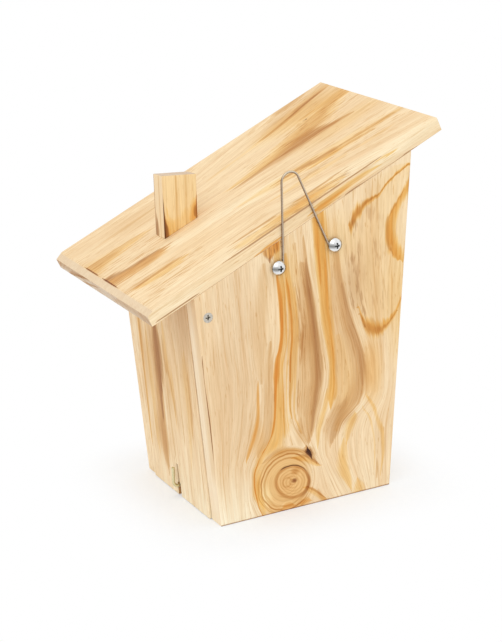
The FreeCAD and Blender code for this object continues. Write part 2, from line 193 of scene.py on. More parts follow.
class Shading:
    """Short hand for laying nodes into one shader tree."""

    def __init__(self, tree):
        self.nodes = tree.nodes
        self.links = tree.links

    def node(self, kind, **settings):
        """A new node with some of its settings."""
        made = self.nodes.new(kind)
        for key, value in settings.items():
            setattr(made, key, value)
        return made

    def feed(self, socket, value):
        """Another node's output, or a constant, into a socket."""
        if isinstance(value, bpy.types.NodeSocket):
            self.links.new(value, socket)
        else:
            socket.default_value = value

    def feed_all(self, made, values):
        """Values into a node's first sockets, in their order."""
        for socket, value in zip(made.inputs, values):
            self.feed(socket, value)

    def math(self, operation, *values):
        """One step of arithmetic."""
        made = self.node("ShaderNodeMath", operation=operation)
        self.feed_all(made, values)
        return made.outputs[0]

    def times(self, first, second):
        """The product of two numbers."""
        return self.math("MULTIPLY", first, second)

    def apart(self, first, second):
        """How far two numbers lie apart."""
        return self.math("ABSOLUTE", self.math("SUBTRACT", first, second))

    def length(self, x, y):
        """The length of a way across and along."""
        return self.math("SQRT", self.math("MULTIPLY_ADD", x, x, self.times(y, y)))

    def remap(self, value, low, high, to_low=0.0, to_high=1.0, shape="LINEAR"):
        """A number moved from one range to another, and held inside it."""
        made = self.node("ShaderNodeMapRange", interpolation_type=shape)
        self.feed_all(made, (value, low, high, to_low, to_high))
        return made.outputs[0]

    def rise(self, value, low, high, to_high=1.0):
        """0 below low and full above high, softly between; the other way round where low is the higher."""
        return self.remap(value, low, high, 0.0, to_high, "SMOOTHSTEP")

    def vector(self, operation, first, second):
        """One step of vector arithmetic."""
        made = self.node("ShaderNodeVectorMath", operation=operation)
        self.feed_all(made, (first, second))
        return made.outputs["Value" if operation in ("DOT_PRODUCT", "DISTANCE") else "Vector"]

    def combine(self, *values):
        """A vector out of three numbers."""
        made = self.node("ShaderNodeCombineXYZ")
        self.feed_all(made, values)
        return made.outputs[0]

    def noise(self, place, noise):
        """A noise's own values, from 0 to 1, at a place in millimetres."""
        scaled = self.vector("MULTIPLY", place, tuple(1.0 / size for size in noise.sizes))
        made = self.node("ShaderNodeTexNoise")
        self.feed(made.inputs["Vector"], scaled)
        for name, value in (("Scale", 1.0), ("Detail", noise.detail), ("Roughness", noise.rough)):
            made.inputs[name].default_value = value
        return made.outputs[0]

    def patches(self, place, noise):
        """A noise as soft patches, 1 inside them and 0 between."""
        return self.rise(self.noise(place, noise), noise.low, noise.high)

    def sway(self, place, noise, reach):
        """A noise as an offset, up to a reach either way."""
        return self.remap(self.noise(place, noise), noise.low, noise.high, -reach, reach)

    def mix(self, share, first, second):
        """A number between two."""
        made = self.node("ShaderNodeMix", data_type="FLOAT")
        self.feed(made.inputs[0], share)
        for socket, value in zip(made.inputs[2:4], (first, second)):
            self.feed(socket, value)
        return made.outputs[0]

    def blend(self, share, first, second, how="MIX"):
        """A colour between two."""
        made = self.node("ShaderNodeMix", data_type="RGBA", blend_type=how)
        self.feed(made.inputs[0], share)
        for socket, value in zip(made.inputs[6:8], (first, second)):
            self.feed(socket, (*value, 1.0) if isinstance(value, tuple) else value)
        return made.outputs[2]

    def curve(self, value, points):
        """A smooth curve through (input, output) points, level beyond its ends."""
        points = sorted(points)
        low_in, high_in = points[0][0], points[-1][0]
        outs = [out for _, out in points]
        low_out, high_out = min(outs), max(outs)
        if high_out - low_out < CURVE_LEAST:
            return low_out
        made = self.node("ShaderNodeFloatCurve")
        line = made.mapping.curves[0]
        while len(line.points) < len(points):
            line.points.new(0.5, 0.5)
        for spot, (into, out) in zip(line.points, points):
            spot.location = ((into - low_in) / (high_in - low_in), (out - low_out) / (high_out - low_out))
            spot.handle_type = "AUTO_CLAMPED"
        made.mapping.update()
        self.feed(made.inputs["Value"], self.remap(value, low_in, high_in))
        return self.remap(made.outputs[0], 0.0, 1.0, low_out, high_out)

    def stain(self, colour, share, tint):
        """A colour under a stain that deepens with its share, as dyes do; tint is the stain's full ratio."""
        depth = self.node("ShaderNodeGamma")
        self.feed_all(depth, ((*tint, 1.0), share))
        return self.blend(1.0, colour, depth.outputs[0], "MULTIPLY")

    def bump(self, shader, height, strength, distance):
        """A raised surface into a shader."""
        made = self.node("ShaderNodeBump")
        made.inputs["Strength"].default_value = strength
        made.inputs["Distance"].default_value = distance
        self.feed(made.inputs["Height"], height)
        self.feed(shader.inputs["Normal"], made.outputs[0])


def new_material(name):
    """A new material with its shader, ready for its colour."""
    material = bpy.data.materials.new(name)
    material.use_nodes = True
    tree = material.node_tree
    return material, Shading(tree), tree.nodes["Principled BSDF"]


def wear(node, material):
    """Gives a CAD piece one material."""
    mesh = frame["nodes"][node].data
    mesh.materials.clear()
    mesh.materials.append(material)


def millimetres(shade):
    """The place on a piece, in millimetres."""
    spot = shade.node("ShaderNodeTexCoord").outputs["Object"]
    return shade.vector("MULTIPLY", spot, (PER_METRE,) * 3)


def facing(shade, axis):
    """How squarely the faces look along an axis, either way."""
    normal = shade.node("ShaderNodeTexCoord").outputs["Normal"]
    return shade.math("ABSOLUTE", shade.vector("DOT_PRODUCT", normal, tuple(axis)))


def facing_share(shade, axis):
    """1 on the faces that look along an axis and 0 elsewhere."""
    return shade.rise(facing(shade, axis), *FACING)


def widest_face(node, toward):
    """The normal of a board's widest face on one side, and the face's offset along it."""
    faces = [face for face in frame["nodes"][node].data.polygons if face.normal.dot(toward) > FACE_TURN]
    if not faces:
        raise RuntimeError(f"{node} has no face on the side asked for")
    face = max(faces, key=lambda found: found.area)
    return face.normal.copy(), face.normal.dot(face.center)


def board_place(shade, grain):
    """Across, along and into a board, in millimetres, fixed to the piece."""
    spot = shade.node("ShaderNodeTexCoord").outputs["Object"]
    offset = shade.vector("SUBTRACT", spot, tuple(grain.origin))
    axes = (grain.across, grain.along, grain.depth)
    return [shade.vector("DOT_PRODUCT", offset, tuple(axis * PER_METRE)) for axis in axes]


def ratio(pine, tint):
    """What the sapwood's colour is multiplied by to give one of the pine's tints."""
    return tuple(part / base for part, base in zip(getattr(pine, tint), pine.sapwood))


def lay_streaks(shade, pine, colour, along, across, marks, streaks):
    """Streaks of colour on a board, feathered along the fibres and pointed at both ends."""
    for streak in streaks:
        line = sorted(streak.line)
        centre = shade.curve(along, [(place, middle) for place, middle, _ in line])
        start, end = line[0][0] - STREAK_TIP, line[-1][0] + STREAK_TIP
        widths = [(start, 0.0), *((place, width) for place, _, width in line), (end, 0.0)]
        half = shade.curve(along, [(place, max(width, STREAK_THINNEST)) for place, width in widths])
        side = shade.math("DIVIDE", shade.math("SUBTRACT", across, centre), half)
        side = shade.math("MULTIPLY_ADD", marks.feather, streak.feather, side)
        low = shade.rise(side, -1 - streak.soft_low, -1 + streak.soft_low)
        high = shade.rise(side, 1 + streak.soft_high, 1 - streak.soft_high, streak.strength)
        share = shade.times(shade.times(low, high), marks.patchy)
        colour = shade.stain(colour, share, ratio(pine, streak.tint))
    return colour


def oval(shade, across, along, eye):
    """Distance from an eye's middle, 1 on its rim."""
    x = shade.math("SUBTRACT", across, eye.across)
    y = shade.math("SUBTRACT", along, eye.along)
    if eye.turn:
        cos, sin = math.cos(math.radians(eye.turn)), math.sin(math.radians(eye.turn))
        turned = shade.math("MULTIPLY_ADD", x, cos, shade.times(y, sin))
        y = shade.math("MULTIPLY_ADD", y, cos, shade.times(x, -sin))
        x = turned
    x = shade.math("DIVIDE", x, eye.half_width)
    y = shade.math("DIVIDE", y, eye.half_height)
    return shade.length(x, y)


def lay_washes(shade, pine, colour, along, across, washes):
    """Soft patches of colour on a board."""
    for wash in washes:
        share = shade.rise(oval(shade, across, along, wash.eye), 1.0, WASH_CORE, wash.strength)
        colour = shade.stain(colour, share, ratio(pine, wash.tint))
    return colour


def arches(shade, across, along, heart):
    """Distance from the heart of the log, whose level lines close in arches on a board."""
    x = shade.math("SUBTRACT", across, heart.across)
    return shade.length(x, shade.math("MULTIPLY_ADD", along, heart.slope, heart.distance))


def follow_guides(shade, across, along, guides):
    """The grain's own way across a board: it keeps a guide's level all along the guide's points."""
    lines = [shade.curve(along, points) for _, points in guides]
    total = guides[0][0]
    for (low, high), (start, end) in zip(zip(lines, lines[1:]), zip(guides, guides[1:])):
        step = shade.remap(across, low, high, 0.0, end[0] - start[0])
        total = shade.math("ADD", step, total)
    return total


# Noises of the plain grain, from its widest parts to its finest, and of the streaks' edges and ends
GRAIN_ZONES = Noise((26.0, 110.0, 26.0), 2.0, 0.5, 0.36, 0.64)
GRAIN_BANDS = Noise((8.0, 170.0, 8.0), 3.0, 0.55, 0.38, 0.68)
GRAIN_LINES = Noise((2.6, 150.0, 2.6), 3.0, 0.62, 0.48, 0.68)
GRAIN_HAIRS = Noise((1.3, 46.0, 1.3), 2.0, 0.6, 0.55, 0.68)
GRAIN_FIBRES = Noise((0.9, 26.0, 0.9), 4.0, 0.66, 0.28, 0.72)
GRAIN_DUCTS = Noise((0.8, 8.0, 0.8), 1.0, 0.5, 0.65, 0.75)
GRAIN_DASHES = Noise((1.5, 16.0, 1.5), 2.0, 0.6, 0.52, 0.66)
GRAIN_FEATHER = Noise((1.7, 60.0, 1.7), 3.0, 0.6, 0.25, 0.75)
GRAIN_RAGGED = Noise((1.4, 70.0, 1.4), 2.0, 0.6, 0.25, 0.75)
# Strengths of the grain's parts; of the pairs, the first holds between the zones and the second inside them
BAND_SHARE = 0.5
LINE_SHARES = (0.1, 0.42)
HAIR_SHARES = (0.24, 0.1)
DUCT_SHARE = 0.22
# What the darkest and the lightest fibres multiply the colour by
FIBRE_TINTS = ((0.905, 0.875, 0.83), (1.05, 1.065, 1.09))
# How far the lines stand out beside the fibres, and a streak's strength from feather to feather
LINE_RELIEF = 0.5
PATCHY_SHARES = (1.2, 0.62)


def plain_pine(shade, pine, across, along, depth, look, straight=None):
    """The plain grain: zones, bands, lines, hairlines, fibres and ducts, with the marks that streaks follow.

    The fibres run along the year rings' lines, or straight where their own way across is given.
    """
    inward = shade.math("ADD", depth, look.seed)
    place = shade.combine(across, along, inward)
    thread = place if straight is None else shade.combine(straight, along, inward)
    zones = shade.patches(place, GRAIN_ZONES)
    bands = shade.patches(place, GRAIN_BANDS)
    lines = shade.patches(place, GRAIN_LINES)
    hairs = shade.patches(thread, GRAIN_HAIRS)
    fibre = shade.noise(thread, GRAIN_FIBRES)
    ducts = shade.patches(thread, GRAIN_DUCTS)
    dashes = shade.patches(thread, GRAIN_DASHES)
    start = tuple(s + (p - s) * look.pale for s, p in zip(pine.sapwood, pine.pale_sapwood))
    start = tuple(s + (a - s) * look.straw for s, a in zip(start, pine.straw))
    colour = shade.blend(shade.times(bands, BAND_SHARE * look.contrast), start, tuple(pine.earlywood))
    for part, shares, tint in ((lines, LINE_SHARES, "earlywood"), (hairs, HAIR_SHARES, "brown")):
        zoned = shade.remap(zones, 0.0, 1.0, *(share * look.contrast for share in shares))
        colour = shade.stain(colour, shade.times(part, zoned), ratio(pine, tint))
    colour = shade.stain(colour, shade.times(ducts, DUCT_SHARE), ratio(pine, "brown"))
    fibre_tint = shade.blend(shade.rise(fibre, GRAIN_FIBRES.low, GRAIN_FIBRES.high), *FIBRE_TINTS)
    colour = shade.blend(1.0, colour, fibre_tint, "MULTIPLY")
    relief = shade.math("MULTIPLY_ADD", lines, LINE_RELIEF, fibre)
    feather = shade.sway(thread, GRAIN_FEATHER, 1.0)
    patchy = shade.remap(feather, -1.0, 1.0, *PATCHY_SHARES)
    ragged = shade.sway(thread, GRAIN_RAGGED, 1.0)
    return colour, Marks(feather, patchy, dashes, ragged, relief)


# Sawn ends: noises of the rings' arcs and of the speckle, and how far the arcs change across the board
END_ARCS = Noise((3.4, 9.0, 1.0), 2.0, 0.6, 0.47, 0.66)
END_SPECKLE = Noise((0.7, 0.7, 1.0), 2.0, 0.5, 0.25, 0.75)
END_WANDER = 0.02
END_ARC_SHARE = 0.55
END_GREYS = (0.93, 1.05)


def sawn_end(shade, pine, across, depth, rings):
    """Arcs of the year rings on a board's sawn end."""
    ring = oval(shade, across, depth, Eye(rings.across, rings.depth, 1.0, 1.0))
    place = shade.combine(ring, shade.times(across, END_WANDER), rings.seed)
    arcs = shade.patches(place, END_ARCS)
    speckle = shade.noise(shade.combine(across, depth, rings.seed), END_SPECKLE)
    colour = shade.blend(shade.times(arcs, END_ARC_SHARE), tuple(pine.end_grain), tuple(pine.brown))
    grey = shade.remap(speckle, END_SPECKLE.low, END_SPECKLE.high, *END_GREYS)
    return shade.blend(1.0, colour, shade.combine(grey, grey, grey), "MULTIPLY")


# Touch of a board: the relief's own range, how far the roughness follows it, shine and raised grain
BOARD_RELIEF = (0.3, 1.2)
BOARD_ROUGH_SPREAD = 0.08
BOARD_SHINE = 0.32
BOARD_BUMP = 0.35
# Share of pale wood in the colour of a board's long edges
EDGE_PALE = 0.5


def finish_board(shade, shader, pine, colour, relief):
    """Colour, roughness and raised grain into the shader."""
    shade.feed(shader.inputs["Base Color"], colour)
    rough = (pine.roughness + BOARD_ROUGH_SPREAD, pine.roughness - BOARD_ROUGH_SPREAD)
    shade.feed(shader.inputs["Roughness"], shade.remap(relief, *BOARD_RELIEF, *rough))
    shader.inputs["Specular IOR Level"].default_value = BOARD_SHINE
    shade.bump(shader, relief, BOARD_BUMP, pine.relief)


# Back panel: across runs to -X, along is height, both in millimetres. A guide is a (level, points) line.
BACK_GUIDES = (
    (-76.0, ((0, -67.5), (200, -83.3))),
    (-36.0, (
        (0, -47), (30, -48.5), (48, -45), (60, -41.5), (80, -37), (98, -35), (120, -36.5), (150, -38),
        (200, -40))),
    (-21.0, (
        (0, -32), (10, -37.5), (20, -40.7), (30, -41), (40, -38), (50, -30.5), (60, -25.5), (70, -23.7),
        (90, -22.5), (110, -21), (120, -18.5), (130, -17), (150, -16.5), (160, -17), (180, -19),
        (210, -21))),
    (-10.0, (
        (0, 18), (10, 12), (20, 10), (30, 9.5), (35, 6), (40, 3), (45, 0), (50, -3), (55, -6), (60, -8.5),
        (70, -11.3), (80, -12), (100, -10.7), (120, -9), (130, -8), (150, -8.7), (170, -11), (210, -13))),
    (17.0, (
        (0, 24), (15, 18), (30, 12.5), (42, 9.8), (50, 9.3), (60, 11), (70, 14), (80, 16.8), (92, 18.8),
        (100, 18.2), (120, 15.5), (140, 12.5), (160, 10), (180, 7.5), (210, 6))),
    (24.5, (
        (0, 31), (15, 24), (30, 17.5), (40, 15), (50, 15), (58, 17), (65, 20), (72, 23), (90, 25),
        (110, 24.5), (130, 22), (150, 20), (170, 19), (210, 17))),
    (46.0, (
        (0, 40), (20, 32), (35, 27.5), (45, 27), (50, 28.5), (55, 31), (60, 36), (65, 43), (70, 47.5),
        (80, 50), (100, 48.5), (110, 46.3), (120, 43), (130, 39), (150, 33.5), (170, 31), (210, 28))),
    (76.0, ((0, 67.5), (240, 86.4))),
)
BACK_SWIRL = Eye(-15.7, 21.0, 25.3, 26.0)
# Where the grain turns from the guides into the swirl, in shares of the swirl's size
BACK_SWIRL_TURN = (1.04, 0.94)
# Slow drift of the grain across the panel, and its reach in millimetres
BACK_DRIFT = Noise((14.0, 60.0, 14.0), 2.0, 0.5, 0.2, 0.8)
BACK_DRIFT_REACH = 0.9
# Five washes more than these turned the panel black
BACK_WASHES = (
    Wash("umber", 0.08, Eye(-50, 116, 32, 150)),
    Wash("cream", 1.5, Eye(-58, -8, 36, 60)),
    Wash("cream", 0.6, Eye(44, -8, 36, 50)),
    Wash("brown", 0.13, Eye(36, 136, 50, 80)),
    Wash("brown", 0.14, Eye(-3, 114, 18, 84)),
    Wash("umber", 0.12, Eye(40, 158, 13, 32)),
    Wash("orange", 0.2, Eye(54, 90, 12, 36)),
    Wash("amber", 0.22, Eye(78, 132, 17, 66)),
    Wash("amber", 0.2, Eye(-9, 172, 10, 30)),
    Wash("amber", 0.16, Eye(26, 188, 22, 30)),
    Wash("amber", 0.26, Eye(-22, 48, 10, 9)),
    Wash("brown", 0.2, Eye(1, 121, 7, 16)),
    Wash("brown", 0.16, Eye(36, 58, 9, 9)),
    Wash("orange", 0.12, Eye(-37, 56, 8, 22)),
    Wash("cream", 1.3, Eye(-33, 14, 8, 14)),
    Wash("brown", 0.5, Eye(-8.5, 28, 5, 4)),
    Wash("brown", 0.25, Eye(-4, 56, 5, 13)),
    Wash("amber", 0.2, Eye(12, 178, 5, 34)),
)
BACK_STREAKS_AND_EDGE_SHADOW = (
    Streak("brown", 0.3, 0.9, 0.6, 0.5, (
        (124, -26, 1), (100, -27.4, 2.4), (80, -28, 3.4), (62, -30, 3.2), (46, -38, 0.8))),
    Streak("brown", 0.22, 0.9, 0.9, 0.6, (
        (180, -29, 1.5), (160, -30, 4.6), (136, -33, 5.6), (116, -33, 4), (98, -33, 1))),
    Streak("orange", 0.42, 0.8, 0.8, 0.4, (
        (99, -35.4, 0.3), (90, -36, 0.8), (75, -37, 1), (60, -40.5, 1.3), (52, -43.5, 1.2),
        (44, -46.4, 0.3))),
    Streak("amber", 0.56, 0.6, 0.9, 0.35, (
        (194, -19, 2.2), (170, -17.3, 2.4), (150, -15.3, 2.4), (130, -15.6, 2.2), (115, -18.3, 2.4),
        (100, -20.4, 2.8), (85, -20.6, 3.4), (70, -20.6, 4.4), (60, -21.4, 6), (53, -25, 6), (46, -32, 4.6),
        (40, -36.6, 3.2), (30, -39.6, 2.6), (20, -39.4, 2.8), (10, -36.4, 2.2), (-4, -32, 0.8))),
    Streak("orange", 0.6, 0.5, 0.8, 0.35, (
        (176, -19.6, 0.4), (160, -17.5, 1.2), (150, -16.5, 1.3), (140, -16.2, 1.2), (130, -16.6, 1.1),
        (120, -18, 1.2), (113, -20.5, 1.8), (105, -21.6, 2.1), (98, -22.3, 1.6), (88, -23, 0.9),
        (75, -23.5, 0.7), (62, -25.5, 0.7), (54, -29, 0.7), (47, -34, 0.6), (38, -39, 0.6),
        (28, -41.2, 0.5), (14, -39.4, 0.4), (-4, -33, 0.3))),
    Streak("amber", 0.5, 0.7, 0.7, 0.4, (
        (174, -15.6, 0.3), (150, -13.2, 0.6), (130, -13, 0.6), (115, -15, 0.5), (100, -17.5, 0.4),
        (70, -17, 0.4), (56, -16.4, 0.2))),
    Streak("amber", 0.4, 0.7, 0.7, 0.4, (
        (164, -12.6, 0.2), (140, -10.8, 0.5), (120, -11.8, 0.5), (100, -14, 0.5), (80, -14.8, 0.4),
        (60, -13.2, 0.2))),
    Streak("amber", 0.6, 0.7, 0.7, 0.35, (
        (184, -13, 1.2), (165, -11, 2.2), (150, -8.5, 2.4), (135, -7.6, 2.4), (120, -8.6, 2.2),
        (105, -10, 1.9), (92, -11, 1.4), (80, -12, 1), (68, -11, 0.5))),
    Streak("orange", 0.4, 0.7, 0.7, 0.4, (
        (168, -12.2, 0.3), (150, -10, 0.8), (130, -9.3, 0.8), (112, -10.6, 0.7), (96, -11.6, 0.5))),
    Streak("brown", 0.35, 0.6, 0.7, 0.35, (
        (114, -10.2, 0.3), (104, -11, 0.9), (92, -11.7, 0.9), (82, -12, 0.5), (72, -11.6, 0.2))),
    Streak("brown", 0.3, 0.7, 0.7, 0.35, (
        (74, -11.6, 0.2), (62, -9, 0.5), (54, -5.5, 0.6), (47, -1.4, 0.8), (42, 1.5, 0.6))),
    Streak("amber", 0.35, 0.8, 0.8, 0.4, (
        (160, -6, 0.4), (130, -4.6, 0.9), (110, -6.4, 0.9), (90, -8, 0.7), (75, -8.6, 0.6), (62, -6, 0.5),
        (50, -0.5, 0.3))),
    Streak("brown", 0.34, 0.9, 0.9, 0.8, (
        (176, 0, 2), (140, 3, 5.4), (110, 4.5, 8.6), (85, 3.5, 8.8), (65, 2, 5.6), (48, 1, 1.4))),
    Streak("brown", 0.39, 1.0, 0.5, 0.35, (
        (194, 1.4, 0.5), (174, 3.2, 1.7), (155, 5.4, 2.8), (135, 7.4, 4), (115, 9.6, 4.4), (100, 10.4, 4.4),
        (85, 9.2, 4.4), (70, 6.8, 3.6), (58, 5, 2.4), (46, 2, 0.6))),
    Streak("umber", 0.24, 0.9, 0.8, 0.5, (
        (178, 3.2, 0.5), (150, 5.8, 2.2), (130, 8.8, 2.2), (112, 10.6, 2.5), (96, 11, 2.5), (82, 9.6, 2),
        (68, 7, 1.4), (56, 5, 0.5))),
    Streak("cream", 0.4, 0.8, 0.8, 0.3, (
        (190, 8, 0.5), (150, 11.4, 1.2), (125, 15, 1.1), (100, 17.8, 1.2), (92, 18, 1.2), (80, 15.8, 1.2),
        (65, 12, 1.2), (50, 8.8, 1), (38, 8, 0.3))),
    Streak("amber", 0.88, 0.5, 0.6, 0.3, (
        (216, 12, 3.6), (200, 14, 5), (185, 15.2, 4.8), (170, 15.8, 4.2), (155, 16.6, 4), (140, 18, 3.8),
        (125, 19.6, 3.4), (110, 21.2, 2.9), (98, 22.2, 2.6), (88, 22, 3.2), (80, 21.4, 3.6),
        (74, 20.6, 2.2), (69, 20, 0.6))),
    Streak("orange", 0.2, 0.6, 0.9, 0.5, (
        (212, 10.6, 1.2), (195, 11, 2), (180, 12.4, 1.3), (160, 14, 0.4))),
    Streak("orange", 0.15, 0.7, 0.7, 0.5, (
        (176, 17.6, 0.4), (150, 18.6, 0.9), (120, 21.6, 0.8), (92, 23.6, 0.5), (78, 22, 0.3))),
    Streak("amber", 0.18, 0.9, 0.9, 0.6, (
        (120, 27, 2), (100, 31, 6), (85, 33, 8), (74, 32, 7), (62, 28, 4), (52, 24, 2))),
    Streak("brown", 0.1, 0.9, 0.9, 0.8, (
        (170, 25, 2), (150, 27, 4), (125, 31, 6), (105, 36, 8), (85, 39, 9), (66, 33, 6), (56, 26, 3))),
    Streak("brown", 0.3, 1.0, 0.5, 0.4, (
        (188, 25.6, 1), (172, 26.6, 2.6), (155, 28.6, 3.4), (140, 31.4, 4), (125, 35.6, 4.6),
        (112, 41, 4.7), (100, 44.2, 4.7), (90, 45.4, 5.1), (80, 43.4, 6.6), (72, 37.4, 8.4), (65, 31, 9),
        (58, 26, 8), (52, 23, 5.4), (46, 20.6, 2.6), (41, 19, 0.6))),
    Streak("umber", 0.14, 0.9, 0.7, 0.5, (
        (156, 30.2, 0.6), (135, 35, 1.8), (118, 40, 2.4), (104, 44, 2.6), (93, 46, 2.2), (82, 46.4, 1))),
    Streak("umber", 0.13, 0.9, 0.8, 0.6, (
        (74, 33, 0.5), (66, 28, 4), (59, 24.6, 5), (52, 22, 4), (44, 20, 1))),
    Streak("amber", 0.14, 0.8, 0.9, 0.4, (
        (104, -20, 0.6), (88, -20.4, 2), (74, -20, 3.6), (62, -20.6, 5), (53, -24, 4), (46, -30, 1))),
    Streak("amber", 0.4, 0.8, 0.8, 0.4, (
        (82, 17, 0.5), (72, 15.6, 1.8), (62, 12.6, 2.2), (52, 9.8, 1.6), (42, 9, 0.4))),
    Streak("cream", 0.5, 0.8, 0.8, 0.3, (
        (72, 49, 0.6), (66, 45.4, 1.4), (60, 39.4, 1.2), (54, 34, 1), (46, 30, 0.6), (36, 28, 0.3))),
    Streak("amber", 0.13, 0.7, 0.7, 0.5, (
        (232, 78, 8), (205, 64, 16), (172, 60, 20), (140, 60, 15), (117, 60, 5))),
    Streak("amber", 0.85, 0.6, 0.7, 0.6, (
        (165.6, 79, 0.8), (167.6, 77, 3.2), (170, 75.6, 4.6), (173.5, 74, 4.9), (177, 72.4, 3.8),
        (180, 70.8, 3.8), (190, 69.2, 3.2), (198, 70.8, 3.2), (204, 73.8, 3), (210, 78, 2.8),
        (216, 82, 2.4), (224, 86, 1.6))),
    Streak("orange", 0.12, 0.7, 0.8, 0.8, (
        (168, 75, 1.5), (176, 70.4, 2.6), (188, 68.4, 2), (200, 70.8, 1.6), (212, 78.4, 1))),
    Streak("brown", 0.35, 0.5, 0.6, 0.5, (
        (171, 71.4, 0.5), (180, 67.4, 0.9), (192, 66.6, 0.9), (203, 71, 0.8), (215, 80, 0.5))),
    Streak("amber", 0.42, 0.9, 0.9, 0.6, (
        (73, 49, 0.3), (66, 53, 1.1), (58, 56.6, 1.3), (48, 60, 1.3), (38, 62, 1.3), (28, 62, 1),
        (10, 60, 0.3))),
    Streak("amber", 0.25, 0.7, 0.7, 0.5, (
        (64, 46, 0.4), (56, 51, 0.8), (46, 54, 0.8), (34, 55.5, 0.7), (16, 55, 0.3))),
    Streak("amber", 0.5, 0.8, 0.8, 0.6, ((60, 39.5, 1.2), (54, 37, 3), (47, 34, 2.4), (40, 32, 0.5))),
    Streak("amber", 0.5, 0.8, 0.8, 0.6, (
        (42, 30, 0.8), (31, 28.6, 3), (20, 29.8, 3.4), (11, 33, 2.2), (4, 35.6, 0.5))),
    Streak("amber", 0.4, 0.8, 0.8, 0.5, ((10, 41, 1), (3, 42, 4), (-4, 42, 5))),
    Streak("brown", 0.35, 0.7, 0.7, 0.5, ((22, 57, 0.3), (16, 57, 0.8), (10, 56.6, 0.7), (6, 56.4, 0.2))),
    Streak("orange", 0.5, 0.7, 0.7, 0.9, (
        (200, -19, 3), (194, -20.6, 6.5), (189, -22, 5.4), (184, -24, 1))),
    Streak("brown", 0.6, 0.9, 0.9, 0.2, (
        (44, 0.4, 1), (41.4, 1.2, 3.4), (38.6, 2.4, 3.4), (35, 4.8, 1.6), (31, 8, 0.6))),
    Streak("umber", 0.9, 0.6, 0.6, 0.2, (
        (42.4, 1, 0.6), (40.8, 1.4, 2.2), (39, 2.2, 2.2), (36.8, 3.4, 1.2), (34.6, 4.4, 0.2))),
    Streak("char", 0.5, 0.7, 0.5, 0.2, (
        (42, 1.4, 0.4), (40.4, 1.6, 1.6), (38.8, 2.6, 1.3), (36.6, 3.7, 0.6), (35, 4.3, 0.1))),
    # Painted shadow: a dark line just inside the panel's edge beside the door
    Streak("umber", 0.8, 0.5, 0.5, 0.1, (
        (124, -76.8, 0.2), (105, -75.4, 0.5), (85, -73.8, 0.5), (60, -71.9, 0.4), (38, -70.3, 0.1))),
)
# Dashes of dark resin along the grain
BACK_DASHES = (
    Streak("umber", 0.3, 0.8, 0.8, 0.5, ((206, 38, 3), (175, 39, 5), (150, 41, 5), (124, 48, 3))),
    Streak("umber", 0.13, 0.8, 0.8, 0.5, ((212, 54, 6), (180, 56, 9), (140, 58, 9), (122, 58, 3))),
    Streak("umber", 0.5, 0.6, 0.6, 0.5, ((201, -18, 3), (194, -20, 6), (188, -22, 5), (182, -24, 1))),
    Streak("brown", 0.4, 0.8, 0.8, 0.5, ((190, -6, 2), (140, -2, 4), (100, -4, 4), (56, -5, 2))),
)
# Streaks that run more across the panel than along it, and a painted shadow line along its foot
BACK_CROSS_STREAKS_AND_FOOT_SHADOW = (
    Streak("amber", 0.75, 0.8, 0.7, 0.9, (
        (43.6, 138, 0.8), (48, 126, 3.6), (53, 121.4, 4.8), (58, 119.4, 4.6), (63, 120, 3.4),
        (68, 123.4, 2.4), (73, 129, 1.8), (80, 142, 1))),
    Streak("brown", 0.4, 0.8, 0.7, 0.9, (
        (44.6, 133, 0.8), (48.5, 124.6, 2.8), (53, 120.4, 3.2), (58, 118.6, 2.6), (63, 119.2, 1.5),
        (68, 122.6, 0.8), (74, 130, 0.5))),
    Streak("amber", 0.8, 0.7, 0.8, 0.9, (
        (37.6, 197, 4), (41.6, 202.4, 5), (48, 208.2, 2.8), (54, 212.2, 1.7), (60, 215, 1.2),
        (66, 220.6, 1), (73, 226.6, 1), (80, 230.8, 0.9), (87, 233.2, 0.8))),
    Streak("brown", 0.5, 0.6, 0.7, 0.9, (
        (38, 198, 3), (42, 203, 3.6), (48, 209, 1.8), (54, 212.8, 0.9), (60, 215.4, 0.6), (70, 224.4, 0.5),
        (84, 232.6, 0.4))),
    Streak("brown", 0.38, 0.9, 0.9, 0.4, (
        (-34, 39.6, 0.4), (-27, 43.6, 2.2), (-20, 45, 2.6), (-12, 44.2, 2), (-5, 42.6, 1.2), (0, 40, 0.4))),
    Streak("amber", 0.5, 0.7, 0.7, 0.3, (
        (-10, 38, 0.6), (0, 34.6, 1.9), (6, 30.6, 1.7), (10.6, 27.6, 0.3))),
    Streak("brown", 0.5, 0.6, 0.6, 0.3, (
        (-7, 40, 0.3), (0, 37, 0.9), (5, 33, 1.2), (9, 29.6, 0.7), (11, 28, 0.1))),
    Streak("amber", 0.45, 0.7, 0.7, 0.3, ((-2, 14, 0.6), (5, 9, 2.2), (10, 4.6, 2.2), (17, -2, 1.2))),
    Streak("brown", 0.5, 0.6, 0.6, 0.3, (
        (0, 14, 0.3), (5, 10.5, 1), (9, 7.2, 0.9), (13, 3.6, 0.4), (16, 1, 0.1))),
    Streak("orange", 0.24, 1.0, 1.0, 0.1, (
        (-20, 2, 0.4), (-17.4, 3, 1.6), (-14.6, 3.2, 1.8), (-12, 3, 1.4), (-10, 2.4, 0.3))),
    Streak("orange", 0.34, 1.0, 1.0, 0.1, ((-6.4, 2.4, 0.3), (-3, 3.4, 1.8), (0, 3.6, 1.8), (3, 2.8, 0.3))),
    Streak("cream", 0.7, 0.9, 0.9, 0.1, (
        (-22, 1.6, 0.3), (-19, 5.2, 0.6), (-14, 6.4, 0.7), (-9.4, 3.6, 0.8), (-5, 6.4, 0.6),
        (-1, 4.6, 0.3))),
    # Painted contact shadow: a thin dark line along the panel's foot, where it meets the floor
    Streak("umber", 0.9, 0.9, 0.9, 0.0, ((-68, 0.1, 0.6), (0, 0.1, 0.6), (68, 0.1, 0.6))),
)
